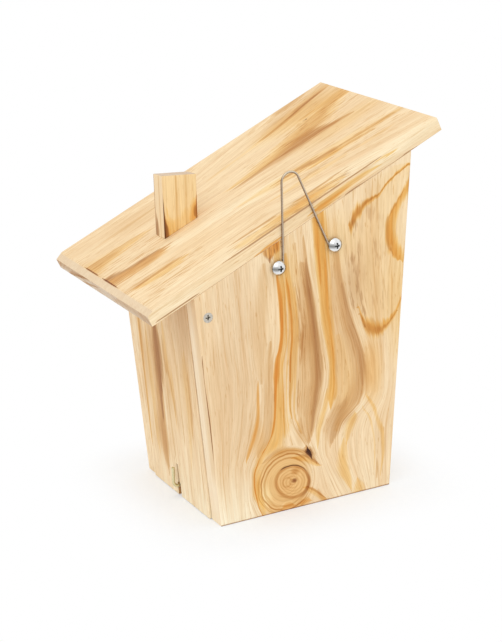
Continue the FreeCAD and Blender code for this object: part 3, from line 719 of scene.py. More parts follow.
# The panel's long edges are darker toward its outer face, from some height over the foot
BACK_EDGE_DARK = 0.2
BACK_EDGE_DARK_DEPTH = (9.0, 3.0)
BACK_EDGE_DARK_FOOT = (24.0, 44.0)
BACK_RAGGED = 1.2
BACK_LOOK = Look(11.0, 1.1, 0.06, 0.0)
BACK_RINGS = Rings(-10.0, -60.0, 3.0)


def dress_back_panel(pine):
    """The back board, with its knot, its ovals and its scorched bands."""
    _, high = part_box("back_panel")
    grain = Grain(Vector((0, high.y, 0)), Vector((-1, 0, 0)), Vector((0, 0, 1)), Vector((0, -1, 0)))
    material, shade, shader = new_material("back_panel_pine")
    level, along, depth = board_place(shade, grain)
    drift = shade.sway(shade.combine(level, along, depth), BACK_DRIFT, BACK_DRIFT_REACH)
    across = shade.math("ADD", level, drift)
    flow = follow_guides(shade, across, along, BACK_GUIDES)
    rim = oval(shade, level, along, BACK_SWIRL)
    flow = shade.mix(shade.rise(rim, *BACK_SWIRL_TURN), flow, shade.times(rim, BACK_SWIRL.half_width))
    colour, marks = plain_pine(shade, pine, flow, along, depth, BACK_LOOK)
    colour_edge = shade.blend(EDGE_PALE, colour, tuple(pine.pale_sapwood))
    outer = shade.times(shade.rise(depth, *BACK_EDGE_DARK_DEPTH), shade.rise(along, *BACK_EDGE_DARK_FOOT))
    colour_edge = shade.stain(colour_edge, shade.times(outer, BACK_EDGE_DARK), ratio(pine, "brown"))
    torn = shade.math("MULTIPLY_ADD", marks.ragged, BACK_RAGGED, along)
    dashed = marks._replace(patchy=marks.dashes)
    colour = lay_washes(shade, pine, colour, along, across, BACK_WASHES)
    colour = lay_streaks(shade, pine, colour, torn, across, marks, BACK_STREAKS_AND_EDGE_SHADOW)
    colour = lay_streaks(shade, pine, colour, along, across, dashed, BACK_DASHES)
    colour = lay_streaks(shade, pine, colour, across, along, marks, BACK_CROSS_STREAKS_AND_FOOT_SHADOW)
    colour = lay_back_knot(shade, pine, colour, level, along)
    colour = shade.blend(facing_share(shade, grain.across), colour, colour_edge)
    ends = sawn_end(shade, pine, across, depth, BACK_RINGS)
    colour = shade.blend(facing_share(shade, grain.along), colour, ends)
    finish_board(shade, shader, pine, colour, marks.relief)
    wear("back_panel", material)


BACK_KNOT = Eye(-11.3, 20.4, 14.4, 11.9, -33.0)
BACK_PITH = Eye(-9.8, 21.0, 1.9, 1.5)
# Noise that makes the knot and the swirl uneven, and how far, in shares of their sizes
KNOT_WOBBLE = Noise((9.0, 9.0, 1.0), 3.0, 0.4, 0.0, 1.0)
KNOT_UNEVEN = 0.13
SWIRL_UNEVEN = 0.1
# The swirl's stained ring ends at its rim, at the knot, and on the knot's right
SWIRL_RIM = (1.0, 0.92)
SWIRL_AT_KNOT = (0.95, 1.05)
SWIRL_RIGHT = (7.0, -8.0)
SWIRL_STAINS = (("amber", 0.22), ("orange", 0.07))
# Brown of the swirl close to the knot: from and to in shares of the knot's size, then its strengths there
SWIRL_NEAR_KNOT = (1.7, 1.0, 0.0, 0.16)
# Ring lines of the swirl round the knot: share of the way to its rim, half width, strength
BACK_SWIRL_RINGS = ((0.80, 0.022, 0.8), (0.90, 0.016, 0.3), (0.69, 0.024, 0.35))
# Where a ring line ends and is full, in shares of its half width
SWIRL_RING_FADE = (1.6, 0.3)
# Inside of the knot: its edge, its even stains, and its fine rings with their strengths
KNOT_EDGE = (1.03, 0.97)
KNOT_STAINS = (("amber", 0.08), ("orange", 0.17))
KNOT_RINGS = 36.0
KNOT_RINGS_UNEVEN = 2.6
KNOT_RING_SHARES = (-0.3, 1.0, 0.03, 0.25)
# Stains of the knot's dark rim: tint, reach from the rim's middle and strength
KNOT_RIM = 0.96
KNOT_RIM_CORE = 0.02
KNOT_RIM_STAINS = (("brown", 0.17, 0.36), ("umber", 0.09, 0.1))
# The rim is darkest at the knot's lower right: across and along ranges, reach and strength
KNOT_DARK_ACROSS = (-8.0, 1.0)
KNOT_DARK_ALONG = (30.0, 18.0)
KNOT_DARK_REACH = 0.14
KNOT_DARK_SHARE = 0.22
# Crack along the knot's top: height, left end, fading to the right, and width with its strengths
CRACK_TOP = (24.0, 30.0)
CRACK_LEFT = (-21.5, -18.0)
CRACK_RIGHT = (-10.0, 2.0, 1.0, 0.3)
CRACK_LINE = (0.045, 0.01, 0.0, 0.55)
# Spot of the pith: where it ends and is full in shares of its size, and its strengths there
PITH_SPOT = (1.4, 0.4, 0.0, 0.8)


def lay_back_knot(shade, pine, colour, across, along):
    """The round knot with its swirl and its crack."""
    swirl = oval(shade, across, along, BACK_SWIRL)
    knot = oval(shade, across, along, BACK_KNOT)
    wobble = shade.noise(shade.combine(across, along, 0.0), KNOT_WOBBLE)
    knot = shade.math("MULTIPLY_ADD", shade.math("SUBTRACT", wobble, 0.5), KNOT_UNEVEN, knot)
    swirl = shade.math("MULTIPLY_ADD", shade.math("SUBTRACT", wobble, 0.5), SWIRL_UNEVEN, swirl)
    ringed = shade.times(shade.rise(swirl, *SWIRL_RIM), shade.rise(knot, *SWIRL_AT_KNOT))
    ringed = shade.times(ringed, shade.rise(across, *SWIRL_RIGHT))
    for tint, strength in SWIRL_STAINS:
        colour = shade.stain(colour, shade.times(ringed, strength), ratio(pine, tint))
    near = shade.times(ringed, shade.remap(knot, *SWIRL_NEAR_KNOT))
    colour = shade.stain(colour, near, ratio(pine, "brown"))
    for middle, half, strength in BACK_SWIRL_RINGS:
        line = shade.rise(shade.apart(swirl, middle), *(half * fade for fade in SWIRL_RING_FADE), strength)
        colour = shade.stain(colour, shade.times(line, ringed), ratio(pine, "brown"))
    heart = shade.rise(knot, *KNOT_EDGE)
    turns = shade.math("MULTIPLY_ADD", wobble, KNOT_RINGS_UNEVEN, shade.times(knot, KNOT_RINGS))
    rings = shade.math("SINE", turns)
    for tint, strength in KNOT_STAINS:
        colour = shade.stain(colour, shade.times(heart, strength), ratio(pine, tint))
    ring_share = shade.times(heart, shade.remap(rings, *KNOT_RING_SHARES))
    colour = shade.stain(colour, ring_share, ratio(pine, "brown"))
    off = shade.apart(knot, KNOT_RIM)
    for tint, reach, strength in KNOT_RIM_STAINS:
        colour = shade.stain(colour, shade.rise(off, reach, KNOT_RIM_CORE, strength), ratio(pine, tint))
    dark = shade.times(shade.rise(across, *KNOT_DARK_ACROSS), shade.rise(along, *KNOT_DARK_ALONG))
    dark = shade.times(dark, shade.rise(off, KNOT_DARK_REACH, KNOT_RIM_CORE, KNOT_DARK_SHARE))
    colour = shade.stain(colour, dark, ratio(pine, "umber"))
    top = shade.rise(along, *CRACK_TOP)
    right = shade.times(shade.rise(across, *CRACK_LEFT), shade.remap(across, *CRACK_RIGHT))
    crack = shade.remap(shade.apart(knot, 1.0), *CRACK_LINE)
    crack = shade.times(crack, shade.times(top, right))
    colour = shade.stain(colour, crack, ratio(pine, "char"))
    pith = shade.remap(oval(shade, across, along, BACK_PITH), *PITH_SPOT)
    return shade.stain(colour, pith, ratio(pine, "umber"))


# Roof board: along runs down the slope from over the foot's middle, across is +Y, in millimetres
ROOF_START = 4.54
# Where the sawn bevel at the low end starts, its soft start, and its share of end grain
ROOF_BEVEL = 116.6
ROOF_BEVEL_SOFT = 0.8
ROOF_BEVEL_SHARE = 0.5
# The grain fans out up the slope: (along, spread) points, and the line across that it fans from
ROOF_FAN = ((-125.0, 1.55), (10.0, 1.0))
ROOF_FAN_MIDDLE = -20.0
ROOF_RAGGED = 8.0
ROOF_LOOK = Look(47.0, 0.85, 0.1, 0.12)
ROOF_RINGS = Rings(-62.0, 46.0, 5.0)
ROOF_WASHES = (
    Wash("cream", 0.7, Eye(60, 0, 26, 240)),
    Wash("orange", 0.3, Eye(52, -8, 9, 38)),
    Wash("brown", 0.2, Eye(-78, -100, 24, 76)),
    Wash("amber", 0.26, Eye(-68, -84, 20, 60)),
    Wash("amber", 0.18, Eye(-18, -90, 16, 56)),
    Wash("brown", 0.14, Eye(-72, 62, 18, 40)),
)
ROOF_STREAKS = (
    Streak("amber", 0.32, 0.7, 0.9, 1.4, (
        (-46, 52, 1.5), (-35, 53, 5), (-15, 54, 7), (10, 55, 7), (28, 54, 6), (46, 52, 1.5))),
    Streak("brown", 0.56, 0.6, 0.8, 0.6, (
        (-47, 45.3, 0.4), (-30, 45.2, 1.2), (-15, 45.2, 1.2), (-7, 45, 0.4))),
    Streak("brown", 0.56, 0.6, 0.8, 0.6, (
        (5, 44.8, 0.4), (15, 45, 1.2), (25, 44.6, 1.1), (33, 44.6, 0.8), (46, 44.5, 0.3))),
    Streak("brown", 0.3, 0.7, 0.7, 0.8, (
        (-42, 57, 0.4), (-25, 57.6, 1), (0, 57.8, 1), (25, 57.4, 0.9), (44, 57, 0.3))),
    Streak("amber", 0.3, 0.8, 0.8, 0.6, (
        (-122, 16, 1), (-95, 14, 4), (-60, 11, 6), (-20, 5, 4), (14, 2, 1))),
    Streak("brown", 0.4, 0.8, 0.8, 0.6, (
        (-114, 15.4, 0.5), (-98, 14, 1.2), (-84, 12.8, 1.2), (-70, 11, 0.7))),
    Streak("brown", 0.55, 0.8, 0.8, 0.6, ((-68, 11, 0.5), (-57, 10, 2), (-47, 9.4, 2), (-38, 8, 0.8))),
    Streak("brown", 0.45, 0.8, 0.8, 0.6, (
        (-50, 5.4, 0.4), (-38, 5.2, 1.5), (-26, 4.6, 1.2), (-10, 4, 0.4))),
    Streak("amber", 0.4, 0.8, 0.8, 0.6, ((-68, 16, 0.5), (-57, 15, 2.2), (-48, 15, 1.8), (-38, 15, 0.4))),
    Streak("amber", 0.22, 0.8, 0.8, 0.6, (
        (-64, 28, 0.5), (-48, 26.6, 2.2), (-30, 25, 2.2), (-12, 23.6, 1.2), (2, 23, 0.4))),
    Streak("amber", 0.16, 0.8, 0.8, 0.6, (
        (-104, 30, 0.5), (-92, 30, 2.4), (-80, 29.6, 1.6), (-70, 29, 0.4))),
    Streak("amber", 0.38, 0.9, 0.7, 0.6, (
        (-122, -62, 5), (-104, -56, 9), (-86, -47, 12), (-68, -42, 10), (-48, -38, 7), (-20, -32, 3),
        (8, -29, 0.6))),
    Streak("brown", 0.3, 0.9, 0.9, 0.8, (
        (-100, -54, 2), (-86, -46, 6), (-72, -42, 7), (-56, -41, 4), (-44, -40, 1))),
    Streak("brown", 0.18, 0.9, 0.9, 0.8, (
        (-124, -62, 7), (-112, -60.6, 6), (-96, -57, 2.4), (-82, -53, 0.5))),
    Streak("brown", 0.54, 0.6, 0.8, 0.3, (
        (-104, -22.4, 0.5), (-92, -24.6, 2.4), (-80, -27.6, 5), (-70, -30.4, 7.6), (-60, -30.6, 7.6),
        (-50, -29.4, 6.4), (-40, -28, 5), (-28, -26.8, 3), (-14, -26, 1.6), (2, -25.4, 0.4))),
    Streak("brown", 0.28, 0.9, 0.8, 0.5, (
        (-90, -24.2, 0.8), (-78, -27, 3.2), (-66, -28.6, 4.4), (-54, -28.4, 3.4), (-44, -27.4, 1.2))),
    Streak("amber", 0.2, 0.8, 0.8, 0.6, (
        (-124, -88, 2), (-98, -82, 5), (-70, -75, 4.5), (-35, -67, 2), (4, -62, 1))),
    Streak("brown", 0.55, 0.8, 0.8, 0.6, (
        (-118, -86, 0.4), (-104, -82.4, 1.8), (-90, -79.4, 2.2), (-76, -75.6, 1.8), (-60, -71.5, 1.2),
        (-44, -68.4, 0.4))),
    Streak("umber", 0.2, 0.8, 0.8, 0.6, (
        (-110, -83.6, 0.4), (-98, -81, 1.2), (-86, -78.4, 1.2), (-74, -75.4, 0.4))),
    Streak("brown", 0.35, 0.8, 0.8, 0.8, ((-104, -97, 2), (-90, -95, 4), (-76, -96, 2))),
    Streak("cream", 0.8, 0.9, 0.9, 0.5, ((-30, 2, 2), (0, 0, 8), (30, -4, 10), (56, -6, 7), (70, -6, 2))),
    Streak("brown", 0.4, 0.35, 1.0, 0.5, (
        (66, -9, 0.4), (76, -8.6, 3), (88, -7.4, 6), (100, -8, 6.6), (108, -10, 7.4), (117, -12, 9.6),
        (124, -12.6, 9.6))),
    Streak("orange", 0.22, 0.6, 0.9, 0.5, (
        (70, -7, 1), (84, -6, 5), (100, -7, 5), (112, -9, 5), (124, -10, 5))),
    Streak("umber", 0.22, 0.5, 0.9, 0.6, (
        (74, -11, 0.4), (86, -12.2, 1.6), (98, -12.8, 2), (108, -15, 2.6), (117, -17, 3.6),
        (124, -17, 3.6))),
    Streak("amber", 0.36, 0.9, 0.9, 0.8, (
        (64, -47, 0.6), (85, -46, 4.2), (100, -44.6, 6.2), (117, -42, 9.6), (124, -42, 9.6))),
    Streak("brown", 0.28, 0.6, 0.9, 0.6, ((88, -46, 1), (105, -44.6, 4), (117, -43, 7.5), (124, -42, 7.5))),
    Streak("brown", 0.3, 0.7, 0.7, 0.6, ((70, -50, 0.3), (88, -50.6, 1), (104, -50.4, 1), (117, -51, 0.6))),
    Streak("amber", 0.42, 0.7, 0.9, 0.8, ((70, 20, 1), (85, 21, 4.5), (100, 20.6, 3.6), (114, 18.6, 1.2))),
    Streak("brown", 0.5, 0.6, 0.8, 0.5, (
        (68, 16.8, 0.4), (76, 17, 1.2), (86, 17, 1.3), (100, 17, 1.1), (117, 17, 0.4))),
    Streak("brown", 0.25, 0.7, 0.7, 0.6, ((70, 35.5, 0.3), (82, 35, 1), (95, 35.2, 0.9), (109, 36, 0.3))),
    Streak("brown", 0.2, 0.8, 0.8, 0.8, (
        (44, -74, 0.6), (66, -73.4, 1.6), (85, -72.5, 2.2), (100, -71.5, 1.2))),
    Streak("umber", 0.8, 0.6, 0.6, 0.1, ((-82.4, -57, 0.1), (-81, -57, 1.1), (-79.6, -57, 0.1))),
)
# Zones of fine scorched dashes on the roof
ROOF_DASHES = (
    Streak("brown", 0.3, 0.8, 0.8, 0.3, ((-124, 18, 10), (-90, 18, 16), (-50, 16, 14), (-14, 12, 6))),
    Streak("brown", 0.3, 0.8, 0.8, 0.3, ((-124, -56, 12), (-90, -50, 16), (-50, -44, 8), (-20, -38, 3))),
    Streak("brown", 0.32, 0.8, 0.8, 0.3, ((56, 30, 8), (80, 30, 20), (110, 32, 20), (122, 32, 18))),
    Streak("brown", 0.3, 0.8, 0.8, 0.3, ((60, -26, 8), (80, -26, 26), (110, -26, 30), (122, -26, 30))),
    Streak("umber", 0.26, 0.8, 0.8, 0.3, ((-50, 52, 4), (-30, 52, 8), (20, 52, 8), (50, 52, 3))),
    Streak("brown", 0.22, 0.8, 0.8, 0.3, (
        (-122, -90, 6), (-90, -92, 8), (-40, -90, 6), (60, -90, 6), (116, -88, 6))),
)
# Dark lines along the bevel's upper edge
ROOF_CROSS_STREAKS = (
    Streak("umber", 0.8, 0.5, 0.5, 0.1, (
        (-54, 116.4, 0.1), (-46, 116.4, 0.45), (-34, 116.4, 0.45), (-31, 116.4, 0.1))),
    Streak("umber", 0.8, 0.5, 0.5, 0.1, (
        (-23, 116.4, 0.2), (-14, 116.4, 0.5), (-3, 116.4, 0.45), (2, 116.4, 0.1))),
)
# On the roof's back edge, across runs down from the top
ROOF_EDGE_STREAKS = (
    Streak("cream", 0.7, 0.9, 0.9, 0.3, (
        (-126, 5, 5), (-104, 5, 5), (-84, 5, 4.6), (-70, 5, 3.4), (-58, 5, 0.5))),
    Streak("cream", 0.6, 0.9, 0.9, 0.3, ((76, 5, 0.4), (92, 5, 3), (108, 5, 5), (124, 5, 5))),
    Streak("amber", 0.6, 0.7, 0.7, 0.5, (
        (-72, 5.4, 0.3), (-50, 4.6, 1.6), (-34, 5, 2.2), (-20, 6, 2.4), (-10, 6.6, 0.6))),
    Streak("orange", 0.3, 0.7, 0.7, 0.6, (
        (-44, 5.6, 0.3), (-30, 6, 1.2), (-18, 6.4, 1.6), (-12, 6.8, 0.4))),
    Streak("umber", 0.5, 0.7, 0.7, 0.4, (
        (-72, 0.6, 0.2), (-50, 0.8, 0.5), (-20, 0.7, 0.6), (10, 0.6, 0.6), (44, 0.5, 0.6), (56, 0.4, 0.2))),
    Streak("amber", 0.6, 0.6, 0.6, 0.5, ((-82, 2, 0.3), (-76, 2.4, 1), (-70, 2, 0.3))),
    Streak("umber", 0.6, 0.6, 0.6, 0.3, (
        (-94, 9.6, 0.2), (-90, 9.4, 0.5), (-82, 9.6, 0.1), (-66, 9.6, 0.1), (-46, 9.4, 0.5),
        (-40, 9.6, 0.2))),
    Streak("orange", 0.5, 0.6, 0.6, 0.4, ((16, 9, 0.3), (22, 9, 0.9), (30, 9.2, 0.7), (36, 9.4, 0.2))),
    Streak("umber", 0.55, 0.6, 0.6, 0.3, (
        (88, 8.8, 0.2), (98, 8.6, 0.45), (110, 8.6, 0.45), (122, 8.6, 0.3))),
)
# On the roof's sawn low end, a streak's line runs along +Y, and across runs down from the top
ROOF_END_STREAKS = (
    Streak("brown", 0.75, 0.7, 0.7, 0.3, (
        (-84, 11, 0.3), (-76, 8.6, 0.8), (-66, 6.6, 1), (-56, 4.6, 1.1), (-44, 2.6, 0.6), (-36, 1.6, 0.2))),
    Streak("brown", 0.6, 0.7, 0.7, 0.3, (
        (-62, 10.6, 0.3), (-52, 9, 0.8), (-42, 7.4, 0.8), (-30, 5.4, 0.4), (-22, 4, 0.1))),
    Streak("brown", 0.3, 0.9, 0.9, 0.5, ((-100, 4, 2), (-84, 4, 3), (-60, 3, 2), (-40, 3, 1))),
    Streak("brown", 0.25, 0.9, 0.9, 0.5, ((4, 6, 1), (24, 4, 3), (46, 5, 4), (58, 6, 3))),
)


def dress_roof_board(pine):
    """The roof board, with its scorched streaks down the slope."""
    off, reach = widest_face("roof_board", Vector((0, 0, 1)))
    down_slope = Vector((off.z, 0, -off.x))
    middle = Vector((0, 0, reach / off.z)) + down_slope * (ROOF_START / PER_METRE)
    grain = Grain(middle, Vector((0, 1, 0)), down_slope, -off)
    material, shade, shader = new_material("roof_board_pine")
    across, along, depth = board_place(shade, grain)
    spread = shade.curve(along, ROOF_FAN)
    flow = shade.math("DIVIDE", shade.math("SUBTRACT", across, ROOF_FAN_MIDDLE), spread)
    edge = facing_share(shade, grain.across)
    flow = shade.mix(edge, flow, across)
    plain, marks = plain_pine(shade, pine, flow, along, depth, ROOF_LOOK)
    torn = shade.math("MULTIPLY_ADD", marks.ragged, ROOF_RAGGED, along)
    dashed = marks._replace(patchy=marks.dashes)
    colour = lay_washes(shade, pine, plain, along, across, ROOF_WASHES)
    colour = lay_streaks(shade, pine, colour, torn, across, marks, ROOF_STREAKS)
    colour = lay_streaks(shade, pine, colour, torn, across, dashed, ROOF_DASHES)
    colour = lay_streaks(shade, pine, colour, across, along, marks, ROOF_CROSS_STREAKS)
    colour_edge = lay_streaks(shade, pine, plain, torn, depth, marks, ROOF_EDGE_STREAKS)
    bevel = shade.blend(ROOF_BEVEL_SHARE, plain, tuple(pine.end_grain))
    colour = shade.blend(shade.rise(along, ROOF_BEVEL, ROOF_BEVEL + ROOF_BEVEL_SOFT), colour, bevel)
    colour = shade.blend(edge, colour, colour_edge)
    ends = sawn_end(shade, pine, across, depth, ROOF_RINGS)
    ends = lay_streaks(shade, pine, ends, across, depth, marks, ROOF_END_STREAKS)
    colour = shade.blend(facing_share(shade, grain.along), colour, ends)
    finish_board(shade, shader, pine, colour, marks.relief)
    wear("roof_board", material)


# Clean-out door: along runs up its outside, across is +Y
DOOR_DRIFT = Noise((20.0, 90.0, 20.0), 2.0, 0.5, 0.2, 0.8)
DOOR_DRIFT_REACH = 1.6
DOOR_RAGGED = 7.0
DOOR_LOOK = Look(83.0, 1.1, 0.22, 0.05)
DOOR_RINGS = Rings(8.0, -40.0, 9.0)
DOOR_WASHES_AND_ROOF_SHADOW = (
    Wash("cream", 0.8, Eye(10, -10, 80, 56)),
    # Painted shadow of the roof's overhang: the next two washes darken the door's upper part
    Wash("brown", 0.1, Eye(0, 112, 90, 80)),
    Wash("umber", 0.15, Eye(36, 146, 36, 62)),
    Wash("brown", 0.2, Eye(0, 92, 12, 48)),
    Wash("brown", 0.2, Eye(-34, 92, 10, 42)),
    Wash("brown", 0.1, Eye(28, 92, 14, 44)),
    Wash("brown", 0.16, Eye(-22, 40, 26, 28)),
    Wash("cream", 0.6, Eye(46, 10, 26, 44)),
)
DOOR_STREAKS = (
    Streak("brown", 0.5, 1.0, 0.5, 0.5, (
        (152, -13, 2.4), (125, -14.6, 5), (105, -16.2, 7.6), (85, -17, 7.4), (70, -19.6, 6.6),
        (55, -20, 6.6), (40, -19, 6.4), (28, -18, 4.4), (16, -17, 1.2))),
    Streak("umber", 0.4, 1.0, 0.5, 0.4, (
        (140, -13.5, 0.8), (125, -14, 3), (112, -14, 5), (100, -13.8, 5.4), (90, -14, 5), (80, -15, 3.4),
        (70, -16.4, 1.8), (52, -16.8, 0.8))),
    Streak("cream", 0.55, 0.8, 0.8, 0.4, (
        (132, -8, 0.8), (110, -7.2, 1.3), (95, -7.2, 1.5), (80, -8.8, 1.5), (65, -11, 1.5),
        (50, -11.6, 1.5), (32, -10.6, 1))),
    Streak("amber", 0.28, 0.9, 0.9, 0.8, (
        (134, 0, 1.4), (105, 1, 2.4), (90, 4, 2.8), (76, 5.4, 1.6), (58, 6, 0.4))),
    Streak("brown", 0.36, 0.8, 0.8, 0.8, (
        (122, -3, 0.6), (104, -2.6, 1.4), (88, 4, 1), (74, 5.6, 1), (62, 6, 0.3))),
    Streak("brown", 0.28, 0.8, 0.8, 0.8, ((84, -3, 0.6), (60, -3.4, 1.6), (44, -3, 1.8), (30, -3, 0.8))),
    Streak("brown", 0.34, 0.8, 0.8, 0.8, (
        (106, 34, 0.6), (92, 33.6, 1.4), (78, 33.3, 1.6), (64, 31.6, 1), (52, 31, 0.3))),
    Streak("amber", 0.2, 0.9, 0.9, 0.8, (
        (118, 31, 2), (95, 30, 4.6), (70, 29, 4), (50, 26, 2.4), (30, 23, 0.8))),
    Streak("amber", 0.5, 0.8, 0.8, 0.6, (
        (132, -41, 1.8), (110, -41.4, 2.6), (92, -41.6, 1.8), (66, -42, 1.2), (30, -43, 0.8))),
    Streak("brown", 0.36, 0.8, 0.8, 0.6, (
        (126, -40.6, 0.5), (108, -41, 1.2), (88, -42, 0.8), (56, -43, 0.6), (30, -43, 0.3))),
    Streak("brown", 0.24, 0.8, 0.8, 0.8, ((128, 15, 0.8), (100, 16, 1.4), (75, 16.4, 1.4), (46, 16, 0.8))),
    Streak("amber", 0.25, 0.8, 0.8, 0.8, ((120, -30, 1), (90, -31, 2.6), (50, -31, 2.6), (24, -30, 1))),
)
# Burn inside the kerf and the slot: top and half width with their soft edges, and depth where it is full
KERF_BURN_TOP = 10.8
KERF_BURN_TOP_SOFT = 1.5
KERF_BURN_HALF = 2.7
KERF_BURN_HALF_SOFT = 0.3
KERF_BURN_DEPTH = 0.35


def dress_clean_out_door(pine):
    """The pivoting door, with its dark band, painted shadow of the roof, and the burnt kerf round the hook.
    """
    off, reach = widest_face("clean_out_door", Vector((1, 0, 0)))
    grain = Grain(Vector((reach / off.x, 0, 0)), Vector((0, 1, 0)), Vector((-off.z, 0, off.x)), -off)
    material, shade, shader = new_material("clean_out_door_pine")
    across, along, depth = board_place(shade, grain)
    drift = shade.sway(shade.combine(across, along, depth), DOOR_DRIFT, DOOR_DRIFT_REACH)
    flow = shade.math("ADD", across, drift)
    colour, marks = plain_pine(shade, pine, flow, along, depth, DOOR_LOOK)
    torn = shade.math("MULTIPLY_ADD", marks.ragged, DOOR_RAGGED, along)
    colour = lay_washes(shade, pine, colour, along, across, DOOR_WASHES_AND_ROOF_SHADOW)
    colour = lay_streaks(shade, pine, colour, torn, across, marks, DOOR_STREAKS)
    latch = next(joint for joint in frame["joints"] if joint["name"] == "latch_turn")
    beside = shade.apart(across, latch["pos_m"][1] * PER_METRE)
    burnt = shade.times(shade.rise(beside, KERF_BURN_HALF, KERF_BURN_HALF - KERF_BURN_HALF_SOFT),
                        shade.rise(along, KERF_BURN_TOP, KERF_BURN_TOP - KERF_BURN_TOP_SOFT))
    burnt = shade.times(burnt, shade.rise(depth, 0.0, KERF_BURN_DEPTH))
    colour = shade.stain(colour, burnt, ratio(pine, "brown"))
    ends = sawn_end(shade, pine, across, depth, DOOR_RINGS)
    colour = shade.blend(facing_share(shade, grain.along), colour, ends)
    finish_board(shade, shader, pine, colour, marks.relief)
    wear("clean_out_door", material)


# Chimney block: along is height over its foot, across runs from its +X side (0) inward, below 0
CHIMNEY_RAGGED = 2.5
CHIMNEY_LOOK = Look(131.0, 0.5, 0.1, 0.5)
CHIMNEY_RINGS = Rings(-40.0, 30.0, 13.0)
# Strength of the darker grain's stain on the narrow faces
CHIMNEY_EDGE_DARK = 0.4
CHIMNEY_STREAKS = (
    Streak("amber", 0.22, 0.9, 0.9, 0.5, (
        (-6, -12, 10), (8, -12, 12), (14, -18, 7), (20, -22, 3), (25, -24, 1))),
    Streak("amber", 0.3, 0.9, 0.9, 0.4, (
        (-6, -4, 5), (5, -4.6, 4.4), (11, -4.6, 3), (16, -3.4, 1), (22, -2.4, 0.2))),
    Streak("orange", 0.08, 0.9, 0.9, 0.3, ((-6, -3, 2.4), (4, -3.4, 2), (10, -2.4, 1.2), (16, -1, 0.4))),
    Streak("umber", 0.95, 0.7, 0.8, 0.25, (
        (-8, -1.4, 2.2), (0, -1.6, 2), (6, -1.5, 1.7), (11, -0.9, 0.9), (18, -0.4, 0.5), (28, -0.1, 0.2))),
    Streak("char", 0.25, 0.7, 0.7, 0.2, (
        (-8, -0.5, 0.9), (4, -0.5, 0.8), (12, -0.3, 0.6), (22, -0.2, 0.5), (32, 0, 0.2))),
    Streak("orange", 0.36, 0.9, 0.9, 0.4, (
        (10, -22, 0.8), (14, -23.2, 2.8), (18, -24.2, 2.6), (24, -25.4, 1), (29, -26, 0.3))),
    Streak("umber", 0.65, 0.8, 0.8, 0.2, (
        (12, -25.6, 0.6), (15, -25.2, 1.7), (19, -25.4, 1.5), (23, -26, 0.9), (31, -26.4, 0.4))),
    Streak("brown", 0.3, 0.7, 0.7, 0.4, (
        (-10, -10, 0.4), (12, -10.2, 0.5), (36, -10.4, 0.6), (50, -10.4, 0.6))),
    Streak("brown", 0.22, 0.7, 0.7, 0.4, (
        (-10, -17.4, 0.4), (14, -17.6, 0.6), (36, -17.8, 0.6), (50, -17.8, 0.6))),
)
# On the block's narrow faces, across runs in from its back
CHIMNEY_EDGE_STREAKS = (
    Streak("umber", 0.6, 0.7, 0.7, 0.6, ((-2, 10.6, 0.6), (4, 10.8, 2), (9, 11, 1.6), (15, 11.4, 0.3))),
    Streak("umber", 0.7, 0.6, 0.6, 0.3, (
        (-2, 13.2, 0.6), (8, 13.3, 0.7), (24, 13.5, 0.5), (44, 13.7, 0.4))),
    Streak("brown", 0.25, 0.7, 0.7, 0.5, ((0, 5, 0.5), (20, 5.4, 0.8), (44, 5.6, 0.6))),
)


def dress_chimney_block(pine):
    """The chimney block, burnt along its near corner."""
    low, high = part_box("chimney_block")
    grain = Grain(Vector((high.x, high.y, low.z)), Vector((1, 0, 0)), Vector((0, 0, 1)), Vector((0, -1, 0)))
    material, shade, shader = new_material("chimney_block_pine")
    across, along, depth = board_place(shade, grain)
    colour, marks = plain_pine(shade, pine, across, along, depth, CHIMNEY_LOOK)
    colour_edge = shade.blend(EDGE_PALE, colour, tuple(pine.pale_sapwood))
    colour_edge = shade.stain(colour_edge, CHIMNEY_EDGE_DARK, ratio(pine, "earlywood"))
    torn = shade.math("MULTIPLY_ADD", marks.ragged, CHIMNEY_RAGGED, along)
    colour = lay_streaks(shade, pine, colour, torn, across, marks, CHIMNEY_STREAKS)
    colour_edge = lay_streaks(shade, pine, colour_edge, torn, depth, marks, CHIMNEY_EDGE_STREAKS)
    colour = shade.blend(facing_share(shade, grain.across), colour, colour_edge)
    ends = sawn_end(shade, pine, across, depth, CHIMNEY_RINGS)
    colour = shade.blend(facing_share(shade, grain.along), colour, ends)
    finish_board(shade, shader, pine, colour, marks.relief)
    wear("chimney_block", material)


# Plain boards: a streak's place across is its distance from the heart of the log
FRONT_HEART = Heart(-12.0, 8.0, 0.25)
FRONT_RINGS = Rings(12.0, -55.0, 171.0)
FRONT_STREAKS = (
    Streak("amber", 0.5, 0.8, 0.6, 0.5, ((-8, 21, 2.2), (40, 22, 2.6), (90, 22, 2), (130, 22, 1))),
    Streak("orange", 0.3, 0.7, 0.7, 0.5, ((-8, 24, 0.7), (50, 25, 0.9), (96, 24.6, 0.5))),
    Streak("brown", 0.42, 1.0, 0.5, 0.5, ((-8, 37, 3.4), (70, 38.4, 4.8), (130, 38, 4), (190, 37, 1))),
    Streak("umber", 0.15, 0.9, 0.8, 0.5, ((10, 39.6, 1.2), (80, 40.8, 2), (140, 40, 1.2))),
    Streak("cream", 0.5, 0.8, 0.8, 0.3, ((-8, 44.4, 1), (90, 45, 1.2), (200, 44.4, 0.8))),
    Streak("amber", 0.55, 0.7, 0.7, 0.4, ((-8, 53, 2.4), (90, 54, 3), (230, 54, 2.4))),
    Streak("orange", 0.25, 0.7, 0.7, 0.5, ((20, 56, 0.6), (120, 57, 0.9), (220, 56.4, 0.6))),
    Streak("brown", 0.26, 0.9, 0.9, 0.7, ((30, 68, 3), (110, 69, 6), (210, 68, 4))),
)
SIDE_HEART = Heart(12.0, 62.0, -0.2)
SIDE_RINGS = Rings(-8.0, 50.0, 211.0)
